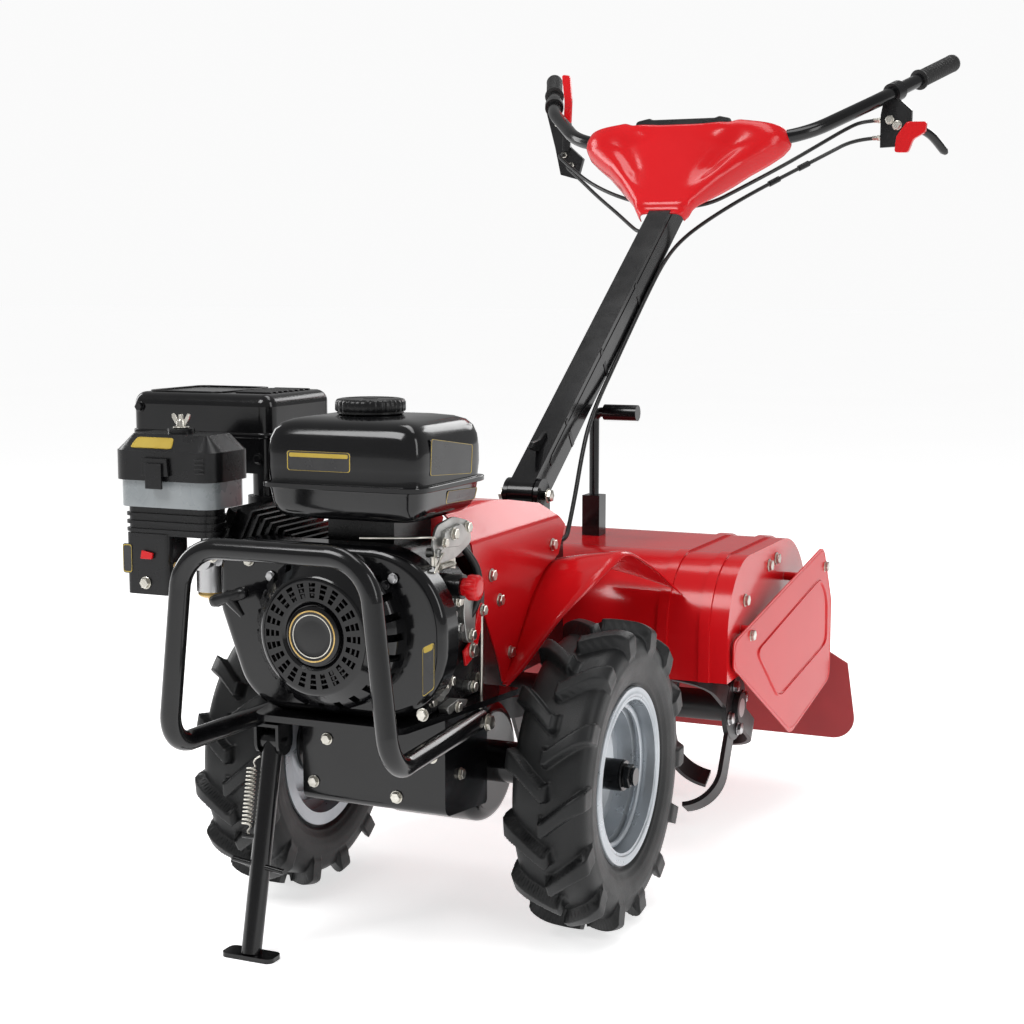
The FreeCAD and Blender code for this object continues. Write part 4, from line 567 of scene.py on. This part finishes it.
def fuel_tank():
    """The tank: a domed upper shell and a shallow lower one, joined at a flanged seam."""
    middle_x, middle_y, half_length, half_width = 225, 16, 99.5, 111
    around, power = 144, 2 / 9.5
    grid = []
    for inset, z in ((60, 566.2), (34, 566.4), (21, 569), (13, 576), (9, 587), (7, 602), (6, 605), (0.5, 605.4),
                     (0, 606), (0, 611), (0.5, 611.6), (6, 612), (6.5, 614), (5.0, 630), (5.4, 650), (7, 664),
                     (11, 675), (18, 682.5), (30, 687), (48, 689.6), (64, 690)):
        row = []
        for step in range(around):
            turn = 2 * math.pi * step / around
            ahead, across = (math.copysign(abs(part) ** power, part) for part in (math.cos(turn), math.sin(turn)))
            row.append(at(middle_x + (half_length - inset) * ahead, middle_y + (half_width - inset) * across, z))
        grid.append(row)
    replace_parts(surface("fuel_tank_shell", grid, "black_gloss", closed=True, smooth=34.0), "fuel_tank")


def bare_plate(name, corners, to_world, edge=True, look=BARE_LABEL):
    """A blank name plate with rounded corners and, as a rule, a thin bright border."""
    line = rounded(corners, 4)
    bm = bmesh.new()
    low, high = ([bm.verts.new(to_world(*point, level)) for point in line] for level in (-0.3, 0.5))
    bm.faces.new(high)
    bm.faces.new(low[::-1])
    skin(bm, [low, high])
    piece(name, bm, "black_gloss", look=look)
    if edge:
        bm = bmesh.new()
        rib(bm, line, to_world, ((1.2, -0.3), (1.2, 0.75), (2.3, 0.75), (2.3, -0.3)), closed=True)
        piece(f"{name}_edge", bm, "black_gloss", look=LABEL_EDGE)


def bare_plates():
    """Blank plates where the tank, cowl, air cleaner and its cover carry them."""
    def facing_front(x):
        return lambda y, z, out: at(x + out, y, z)

    slope = 0.72
    bare_plate("tank_plate_front", rectangle(-54, 627, 34, 651), facing_front(319.2))
    bare_plate("tank_plate_side", [(288, 624), (172, 616), (168, 652), (284, 668)],
               lambda x, z, out: at(x, 121.5 + out, z))
    bare_plate("tank_plate_low", [(238, 601), (150, 597), (152, 582), (238, 585)],
               lambda x, z, out: at(x, 120.4 - (602 - z) * 0.2 + out, z))
    bare_plate("filter_plate", [(-284, 5), (-222, 5), (-226, 22), (-280, 22)],
               lambda y, up, out: at(317.4 - up * 0.694 + out * slope, y, 642 + (up + out) * slope),
               look=LABEL_EDGE)
    bare_plate("tank_plate_band", rectangle(-50, 643.5, 30, 648.5), facing_front(319.5), edge=False,
               look=LABEL_EDGE)
    bare_plate("cowl_plate_band", [(120, 414), (132, 420), (132, 428), (120, 421)], facing_front(COWL_X + 0.4),
               edge=False, look=LABEL_EDGE)
    bare_plate("cowl_plate", [(118, 360), (134, 372), (134, 430), (118, 422)], facing_front(COWL_X + 0.1))
    bare_plate("carburettor_plate", rectangle(-310, 483, -296, 521), facing_front(298.3))


def air_cleaner_details():
    """Wing nut and washer on top, front latch, vents, and the choke's red lever with its screws."""
    top = at(271, -236, 668.4)
    bm = bmesh.new()
    lathe(bm, [(10, 0), (10.5, 0.6), (10.5, 1.6), (10, 2)], top, UP)
    lathe(bm, [(6.2, 2), (5.4, 9), (4.4, 11), (3.2, 11), (3.2, 16), (2.4, 17)], top, UP, 24)
    for way in (1, -1):
        wing = ((4, 3), (8, 5), (13, 13), (13.5, 17), (11, 18.5), (8, 15), (4.5, 8))
        flat(bm, [top + Vector((-1.2, way * y, z)) * MM for y, z in wing], (2.4, 0, 0))
    piece("wing_nut", bm, "bright_steel", look=ZINC, bevel=0.5)
    bm = bmesh.new()
    front_plate(bm, [(-262, 612), (-222, 612), (-224, 634), (-260, 634)], 318.2, 5)
    front_plate(bm, rectangle(-254, 596, -230, 628), 323, 3.5)
    for step in range(4):
        z = 616 + 5.5 * step
        front_plate(bm, rectangle(-186, z, -172, z + 2.6), 318, 1.2)
    piece("air_cleaner_latch", bm, "black_plastic", bevel=1.0)
    bm = bmesh.new()
    front_plate(bm, [(-281, 503), (-264, 503), (-262, 511), (-279, 514)], 299, 4)
    piece("choke_lever", bm, "red_paint", bevel=1.2)
    bolts("carburettor_screws", [((298.4, -276, 472), FRONT, 4), ((297, -204, 512), FRONT, 4),
                                 ((297, -176, 512), FRONT, 4)])
    bm = bmesh.new()
    lathe(bm, [(17, 0), (18.4, 2), (18.4, 5), (15, 7.5), (6, 8), (6, 12), (4.6, 13)], at(268, -196, 463), DOWN)
    lathe(bm, [(4, 0), (4, 12), (6.5, 13), (6.5, 20), (4, 21)], at(294, -214, 498), (1, -0.2, 0), 20)
    piece("carburettor_brass", bm, "bright_steel", look=BRASS)


def governor():
    """Governor arm, rods, spring and the red shift lever on the engine's left."""
    bm = bmesh.new()
    side_plate(bm, [(232, 418), (243, 418), (249, 470), (259, 548), (251, 550), (238, 472)], 109.4, 2.5)
    side_plate(bm, [(196, 500), (262, 512), (262, 524), (196, 514)], 109.0, 2)
    piece("governor_arm", bm, "bright_steel", look=ZINC, bevel=0.6)
    wire_piece("governor_rod", [at(255, 112.4, 545), at(262, 113, 548), at(290, 96, 549), at(312, 40, 549)], 1.3,
               "bright_steel", look=ZINC)
    wire_piece("shift_rod", [at(123, 112, 430), at(123, 112.5, 380), at(124, 112, 330), at(128, 112, 296)], 2.6,
               "bright_steel", look=ZINC)
    per_turn, lead, radius = 8, 2.1, 3.2
    coils = []
    for step in range(150):
        turn = 2 * math.pi * step / per_turn
        coils.append(at(206 + lead * step / per_turn, 113.4 + radius * math.cos(turn),
                        508 + radius * math.sin(turn)))
    wire_piece("governor_spring", coils, 0.6, "bright_steel", look=ZINC)
    bm = bmesh.new()
    side_plate(bm, [(112, 436), (122, 446), (132, 440), (150, 404), (176, 392), (170, 372), (146, 380), (134, 396)],
               109.2, 4)
    piece("shift_lever", bm, "red_paint", bevel=1.5)
    bolts("engine_bolts", [((154, 113.4, 390), LEFT, 5), ((238, 112.2, 432), LEFT, 4), ((123, 113.4, 436), LEFT, 4),
                           ((118, 104.4, 345), LEFT, 4.5), ((252, 104.4, 345), LEFT, 4.5)])


def engine_trim():
    """Bright brackets, bosses and rods that crowd the engine's left side under the tank."""
    bm = bmesh.new()
    for y, thick, radius, corners in (
            (108.4, 4, 9, [(250, 560), (204, 566), (160, 556), (152, 528), (196, 514), (244, 512), (262, 536)]),
            (112.0, 5, 6, [(236, 552), (188, 556), (170, 540), (196, 528), (238, 532)]),
            (104.5, 8, 7, [(226, 394), (262, 388), (262, 350), (238, 340), (214, 356)]),
            (104.5, 14, 4, [(204, 338), (236, 334), (232, 324), (186, 324), (176, 332)]),
            (103.5, 10, 8, [(146, 474), (172, 478), (178, 440), (168, 402), (146, 398), (142, 440)]),
            (112.0, 7, 6, [(258, 376), (238, 388), (222, 380), (218, 362), (236, 350), (256, 352)]),
            (104.0, 8, 5, [(190, 446), (236, 452), (240, 440), (196, 428)])):
        side_plate(bm, rounded(corners, radius, 4), y, thick)
    piece("engine_brackets", bm, "bright_steel", look=CAST, bevel=1.2)
    bm = bmesh.new()
    for x, z, radius, proud in ((214, 542, 9, 10), (247, 526, 6, 14), (178, 538, 7, 9), (283, 492, 6, 8),
                                (236, 480, 7, 12), (200, 461, 8, 12), (186, 424, 6, 12), (157, 462, 7, 11),
                                (240, 366, 8, 14), (212, 330, 6, 16), (158, 344, 7, 12), (176, 486, 5, 10)):
        lathe(bm, [(radius, -6), (radius, proud * 0.7), (radius * 0.8, proud * 0.8), (radius * 0.8, proud)],
              at(x, BLOCK_Y, z), LEFT, 24)
    piece("engine_bosses", bm, "bright_steel", look=CAST)
    bolts("engine_trim_bolts", [((x, y, z), LEFT, size) for x, y, z, size in (
        (214, 117, 546, 4), (240, 116.6, 538, 3.4), (166, 112.2, 548, 4), (240, 118, 366, 4), (212, 120, 330, 3.6),
        (200, 116, 461, 4), (160, 113.6, 464, 4), (157, 113.6, 410, 4), (230, 112.2, 446, 3.4),
        (246, 119.2, 372, 3.4), (228, 119.2, 366, 3.4), (158, 115.6, 344, 4), (236, 116, 480, 3.6))])
    wire_piece("throttle_rod", [at(247, 119, 526), at(262, 121, 520), at(272, 118, 500), at(283, 113, 492)], 1.6,
               "bright_steel", look=ZINC)
    sheath = LOOKS["cable_sheath"]
    wire_piece("breather_hose", [at(150, 98, 520), at(142, 114, 500), at(140, 118, 470), at(146, 114, 440),
                                 at(158, 104, 424)], 5.0, "black_plastic", look=sheath)
    wire_piece("stop_switch_wire", [at(262, 104, 470), at(274, 112, 452), at(268, 114, 420), at(250, 112, 404),
                                    at(240, 104, 396)], 2.2, "black_plastic", look=sheath)


# ---------------------------------------------------------------- frame, hood and stand

def frame_bolts():
    """Hexagon bolts on the lower case, cowl, fender plates, hood ends, hubs, mast bracket and tine flanges."""
    case_x, plate_y, cover_y, hood_y = 210.2, 98.2, 95.0, 300.2
    spots = [((case_x, -66, 270), FRONT, 4), ((case_x, -86, 212), FRONT, 4), ((case_x, 34, 205), FRONT, 4.2),
             ((case_x, 84, 262), FRONT, 4), ((167, 102.2, 232), LEFT, 4), ((COWL_X, 118, 340), FRONT, 4),
             ((COWL_X, -120, 512), FRONT, 4)]
    on_sides = ((62, plate_y, 471, 4.5), (-146, plate_y, 484, 4.5), (30, cover_y, 433, 4.5),
                (-6, cover_y, 356, 4.5), (-552, hood_y, 409, 5), (-593, hood_y, 414, 5), (-422, hood_y, 374, 5),
                (173, 143.4, 304, 5.5), (-280, 35.4, 536, 5.5))
    for side, _ in SIDES:
        spots += [((x, side * y, z), (0, side, 0), size) for x, y, z, size in on_sides]
    bolts("frame_bolts", spots)
    rotor_x, rotor_z, flange_y, circle = -525, 182, 258.4, 38
    spots = []
    for side, _ in SIDES:
        for turn in (math.radians(90 * step + 15) for step in range(4)):
            spots.append(((rotor_x + circle * math.sin(turn), side * flange_y, rotor_z + circle * math.cos(turn)),
                          (0, side, 0), 5.5))
    bolts("tine_bolts", spots, "tine_rotor", LOOKS["bright_steel"])


def shields(side, name):
    """The pressed field and the rolled edge of a side shield, and its bolts."""
    swing = math.radians(5)
    hinge_x, hinge_y = -345, 305

    def on_shield(x, z, out):
        back = (hinge_x - x) / math.cos(swing)
        return at(x + out * math.sin(swing), side * (hinge_y + back * math.sin(swing) + out * math.cos(swing)), z)

    bm = bmesh.new()
    field = rounded([(-432, 293), (-531, 198), (-766, 249), (-764, 330), (-728, 369)], 22, 8)
    rib(bm, field, on_shield, ((0, -1.0), (2, 2.4), (4, 4.2), (6, 4.2), (8, 2.4), (10, -1.0)))
    border = rounded([(-347, 322), (-347, 286), (-596, 133), (-783, 188), (-783, 319), (-741, 414)], 22, 8)
    rib(bm, border, on_shield, ((0, -1.0), (0.4, 1.8), (1.8, 2.6), (3.6, 1.8), (5.0, -0.4)))
    piece(f"shield_rib_{name}", bm, "red_paint", angle=80)
    bm = bmesh.new()
    for x, z in ((-752, 381), (-418, 322)):
        bolt(bm, on_shield(x, z, 0.1), (0, side, 0), 5)
    piece(f"shield_bolts_{name}", bm, "bright_steel", look=ZINC)


def fenders(side, name):
    """A softly curved flare from the cover's side plate out over the tyre."""
    crease_y, sheet, crown, roll_share, roll_drop = 94.8, 2.0, 3, 0.10, 6
    crease = [Vector((x, crease_y, z)) for x, z in ((18, 316), (4, 329), (-30, 362), (-60, 398), (-90, 426),
                                                    (-150, 458), (-240, 452), (-332, 427))]
    lip = [Vector(point) for point in ((18, 99.8, 317), (2, 122, 346), (-30, 160, 408), (-72, 188, 446),
                                       (-112, 200, 467), (-165, 208, 479), (-250, 218, 446), (-346, 226, 394))]
    grid = []
    for inner, outer in zip(spline(crease, 10), spline(lip, 10)):
        row = []
        for step in range(13):
            share = step / 12
            spot = inner.lerp(outer, share)
            swell = crown * math.sin(math.pi * share) * min(1.0, (outer - inner).length / 80)
            roll = roll_drop * smooth_step((share - 1 + roll_share) / roll_share)
            row.append(at(spot.x, side * spot.y, spot.z + swell - roll))
        grid.append(row)
    surface(f"fender_flare_{name}", grid, "red_paint", thick=sheet, smooth=60.0)
    plate = rounded([(94, 447), (34, 352), (18, 316), (-16, 347), (-78, 419), (-168, 463), (-168, 483), (-86, 457),
                     (94, 457)], 8, 4)
    bm = bmesh.new()
    side_plate(bm, plate, side * (crease_y - 1), side * sheet)
    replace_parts(piece(f"fender_plate_{name}", bm, "red_paint", bevel=0.5), f"fender_{name}")


def stand_spring():
    """The spring that holds the stand, with its hooks, and the pegs that it hangs on."""
    top, foot = at(247, -155, 242), at(266, -155, 150)
    turns, per_turn, radius = 15, 8, 6.2
    along, across = foot - top, Vector(LEFT)
    third = along.cross(across).normalized()
    points = [top + Vector((0, 12, 6)) * MM, top]
    for step in range(turns * per_turn + 1):
        turn = 2 * math.pi * step / per_turn
        share = 0.1 + 0.8 * step / (turns * per_turn)
        points.append(top + along * share + (across * math.cos(turn) + third * math.sin(turn)) * radius * MM)
    points += [foot, foot + Vector((1, 12, -4)) * MM]
    wire_piece("stand_spring", points, 1.2, "bright_steel", "stand", ZINC)
    wire_piece("stand_crosspiece", [at(276, -168, 118), at(277, -130, 114), at(278, -92, 110)], 3.6, "black_paint",
               "stand")
    wire_piece("stand_peg", [foot + Vector((1, y, -3)) * MM for y in (-4, 13, 30)], 3.2, "black_paint", "stand")


# ---------------------------------------------------------------- steering bar

BAR = at(-1014.9, 0, 1105.3)
MAST_LEAN = math.radians(34.6)
MAST_ALONG = Vector((-math.cos(MAST_LEAN), 0, math.sin(MAST_LEAN)))
MAST_UP = Vector((math.sin(MAST_LEAN), 0, math.cos(MAST_LEAN)))
MAST_SIDE = 20  # from the mast's middle to its side


def near_bar(back, across, up):
    """A point given in mm from the middle of the handlebar."""
    return BAR + Vector((-back, across, up)) * MM


def near_pivot(back, across, up):
    """A point given in mm from the pivot at the mast's foot."""
    return at(-280 - back, across, 536 + up)


def on_mast(along, across, up):
    """A point given in mm along the mast from its pivot, to its left and square to it."""
    return near_pivot(0, across, 0) + (MAST_ALONG * along + MAST_UP * up) * MM


def bar_cover():
    """The cover's moulded front: lobes over the handlebar, hollow cheeks and a rolled top edge."""
    lean = math.radians(35.5)
    out_way, rise_way = Vector((math.cos(lean), 0, math.sin(lean))), Vector((-math.sin(lean), 0, math.cos(lean)))
    foot = at(-899.8, 0, 963.6)
    bottom, height, roll_from, roll_reach = -8, 195, 0.86, 12
    heights = (bottom, 0, 25, 50, 80, 113, 140, 160, 175, 185, height)
    widths = (40, 46, 60, 80, 104, 134, 164, 184, 193, 194, 191)
    rows, half_columns = 63, 48
    grid = []
    for step in range(rows + 1):
        share = step / rows
        roll = max(0.0, (share - roll_from) / (1 - roll_from)) * math.pi / 2
        rise = bottom + (height - bottom) * min(share / roll_from, 1.0) + roll_reach * math.sin(roll)
        half = float(np.interp(min(rise, height), heights, widths)) - 8 * (1 - math.cos(roll))
        deep = 22 + 28 * smooth_step(rise / 90)
        foot_step = 6 * smooth_step((14 - rise) / 14)
        row = []
        for column in range(2 * half_columns + 1):
            across = math.sin(math.pi / 2 * (column / half_columns - 1))
            front = 33 - 12 * across * across * smooth_step((rise - 60) / 100)
            cheek = 11 * math.exp(-((abs(across) - 0.60) / 0.17) ** 2) * smooth_step((rise - 40) / 60)
            cheek *= smooth_step((188 - rise) / 45)
            brow = 5 * math.exp(-((abs(across) - 0.42) / 0.16) ** 2) * smooth_step((rise - 150) / 40)
            skirt = 1 - (1 - abs(across) ** 6) ** (1 / 3)
            out = front - cheek + brow - deep * (1 - (1 - skirt) * math.cos(roll)) - foot_step
            dip = 9 * smooth_step((112 - abs(across * half)) / 24) * smooth_step((rise - 150) / 50)
            row.append(foot + (out_way * out + rise_way * (rise - dip) + Vector(LEFT) * across * half) * MM)
        grid.append(row)
    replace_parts(surface("bar_cover_shell", grid, "red_paint", "steering_bar", thick=2.0, smooth=75.0), "bar_cover")
    line = rounded([(-88, 188), (88, 188), (92, 208), (66, 215), (60, 211), (-60, 211), (-66, 215), (-92, 208)], 8)
    bm = bmesh.new()
    flat(bm, [foot + (rise_way * z - out_way * 26 + Vector(LEFT) * y) * MM for y, z in line], out_way * 50)
    piece("cover_insert", bm, "black_plastic", "steering_bar", bevel=3.0)


def grips(side, name):
    """A ribbed rubber grip with a rim at its inner end."""
    length, rib_radius, groove_radius, rib_pitch = 120, 16.4, 15.4, 8
    bend, end = near_bar(145, side * 320, 77), near_bar(369, side * 412, 164)
    along = (end - bend).normalized()
    profile = [(13.2, 0), (19, 0.2), (19.4, 1.5), (19, 4), (rib_radius, 5.5)]
    for start in (9 + rib_pitch * step for step in range(13)):
        profile += [(rib_radius, start), (groove_radius, start + 1), (groove_radius, start + 3),
                    (rib_radius, start + 4)]
    profile += [(16.8, 117), (16.0, 121.5), (12, 123.6), (5, 123.9)]
    bm = bmesh.new()
    lathe(bm, profile, end - along * length * MM, along, 48)
    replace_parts(piece(f"grip_ribbed_{name}", bm, "grip_rubber", "steering_bar", angle=60), f"grip_{name}")


def mast_details():
    """The folds along the mast's sides, the hook on its top and the cable ties on its left."""
    fold = ((62, 4), (62, 13), (74, 17), (790, 17), (800, 13), (800, 4), (790, 1), (74, 1))
    for side, name in SIDES:
        bm = bmesh.new()
        flat(bm, [on_mast(along, side * MAST_SIDE, up) for along, up in fold], (0, side * 1.1, 0))
        piece(f"mast_fold_{name}", bm, "black_paint", "steering_bar", bevel=0.5)
    bm = bmesh.new()
    hook = ((70, 26.2), (112, 26.2), (108, 34), (86, 37), (60, 52), (50, 50), (56, 40))
    flat(bm, [on_mast(along, -3, up) for along, up in hook], (0, 6, 0))
    piece("mast_hook", bm, "black_paint", "steering_bar", bevel=1.2)
    bm = bmesh.new()
    for along, up in ((150, -6), (330, -5), (520, -9)):
        flat(bm, [on_mast(along + a, MAST_SIDE + 0.2, up + b) for a, b in rectangle(-5, 30, 5, -20)], (0, 0.8, 0))
    piece("cable_ties", bm, "black_plastic", "steering_bar", bevel=0.3)


def control_details():
    """Cable ferrules, the levers' bolts, the left lever with its red catch and the right one with its root."""
    bm = bmesh.new()
    for spot, axis in ((near_bar(189, 316.6, 13), RIGHT), (near_bar(189, 316.6, 45), RIGHT),
                       (near_bar(183.6, -297, -21), FRONT), (near_bar(183.6, -312, -1), FRONT),
                       (near_bar(-53, 20.4, -117), LEFT), (near_bar(-113, -20.4, -164), RIGHT),
                       (near_bar(-47, -20.4, -111), RIGHT)):
        lathe(bm, [(5.4, 0), (5.8, 0.8), (5.8, 5), (4.6, 6), (4.6, 14), (4.1, 15)], spot, axis, 6)
    piece("cable_ferrules", bm, "bright_steel", "steering_bar", ZINC)
    bolts("lever_bolts", [((-1198.6, 348, 1140), FRONT, 4.5), ((-1198.6, -326, 1168), FRONT, 4.5),
                          ((-1198.6, 334, 1150), FRONT, 4)], "steering_bar")
    catch = rounded([(346, -15), (349, 14), (368, 40), (404, 39), (402, 20), (380, 8), (371, -16)], 5, 3)
    lever = rounded([(-314, 58), (-299, 58), (-297, 104), (-301, 154), (-318, 156), (-312, 104)], 6, 4)
    root = [(-317, 6), (-302, 6), (-298, 62), (-315, 62)]
    made = {}
    for name, outline, back, thick, slot, bevel in (("lever_catch", catch, 184, 12, "red_paint", 1.2),
                                                    ("upright_lever", lever, 186, 9, "red_paint", 3.0),
                                                    ("upright_lever_root", root, 184.8, 6, "black_plastic", 1.5)):
        bm = bmesh.new()
        flat(bm, [near_bar(back, y, z) for y, z in outline], (thick, 0, 0))
        made[name] = piece(name, bm, slot, "steering_bar", bevel=bevel)
    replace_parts(made["upright_lever"], "lever_right")
    path = spline([near_bar(190, 352, 40), near_bar(206, 372, 34), near_bar(240, 398, 20),
                   near_bar(278, 421, -12)], 8)
    last, around = len(path) - 1, 20
    sections = []
    for index, spot in enumerate(path):
        along = (path[min(index + 1, last)] - path[max(index - 1, 0)]).normalized()
        side = along.cross(Vector(UP)).normalized()
        up = side.cross(along)
        share = index / last
        end = 0.6 if index in (0, last) else 1.0
        wide, high = (7.5 + 1.5 * share) * end, (9.5 - 2.5 * share) * end
        sections.append([spot + (side * wide * math.cos(turn) + up * high * math.sin(turn)) * MM
                         for turn in (2 * math.pi * step / around for step in range(around))])
    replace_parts(surface("lever_blade", sections, "black_paint", "steering_bar", closed=True), "lever_left")


def cable(name, points, sleeves=()):
    """A control cable along its CAD route. Each sleeve round it lies between two distances, in mm, to the
    left of the centre plane."""
    line = wire_piece(f"{name}_line", points, 3.5, "cable_sheath", "steering_bar")
    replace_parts(line, name)
    bare = bpy.data.objects.new("route", line.data.copy())
    bare.data.bevel_depth = 0.0
    route = bpy.data.meshes.new_from_object(bare)
    on_route = [vertex.co.copy() for vertex in route.vertices]
    for count, (low, high) in enumerate(sleeves):
        part = [spot for spot in on_route if low <= spot.y / MM <= high]
        wire_piece(f"{name}_sleeve_{count + 1}", part, 5.6, "black_plastic", "steering_bar",
                                  smooth=False)
    bpy.data.objects.remove(bare)
    bpy.data.meshes.remove(route)


def cables():
    """One cable down the mast to the gearbox and three short ones to the mast's sides."""
    lay, side = 23.8, 20.2
    down = [near_bar(189, 316.8, 13), near_bar(189, 270, 13), near_bar(155, 222, -17), near_bar(90, 160, -59),
            near_bar(15, 105, -101), near_bar(-53, 57, -144), near_bar(-108, 30, -178), near_bar(-180, lay, -215),
            near_pivot(468, lay, 297), near_pivot(382, lay, 235), near_pivot(300, lay + 0.6, 176),
            near_pivot(225, 28, 129), near_pivot(160, 36, 89), near_pivot(112, 44, 44), near_pivot(70, 52, -2),
            near_pivot(32, 58, -42), near_pivot(10, 60, -70), near_pivot(10, 38.2, -70)]
    cable("cable_mast", down, ((176, 204), (140, 158)))
    cable("cable_left", [near_bar(189, 316.8, 45), near_bar(189, 284, 45), near_bar(150, 262, 29),
                         near_bar(93, 226, -3), near_bar(37, 178, -41), near_bar(-15, 118, -81),
                         near_bar(-53, 58, -117), near_bar(-53, side, -117)])
    cable("cable_right_low", [near_bar(183.8, -297, -21), near_bar(137, -297, -21), near_bar(90, -245, -53),
                              near_bar(25, -180, -93), near_bar(-35, -118, -127), near_bar(-85, -72, -153),
                              near_bar(-113, -48, -164), near_bar(-113, -side, -164)])
    cable("cable_right_high", [near_bar(183.8, -312, -1), near_bar(135, -312, -1), near_bar(80, -262, -29),
                               near_bar(25, -200, -65), near_bar(-20, -130, -93), near_bar(-47, -62, -111),
                               near_bar(-47, -side, -111)])


# ---------------------------------------------------------------- the whole scene

studio()
camera()
cables()
for side, name in SIDES:
    tyre(side, name)
    wheel_hardware(side, name)
    shields(side, name)
    fenders(side, name)
    grips(side, name)
caps()
recoil_details()
muffler_guard()
fuel_tank()
bare_plates()
bar_cover()
air_cleaner_details()
governor()
engine_trim()
frame_bolts()
stand_spring()
mast_details()
control_details()
bpy.context.scene.view_settings.view_transform = "Standard"
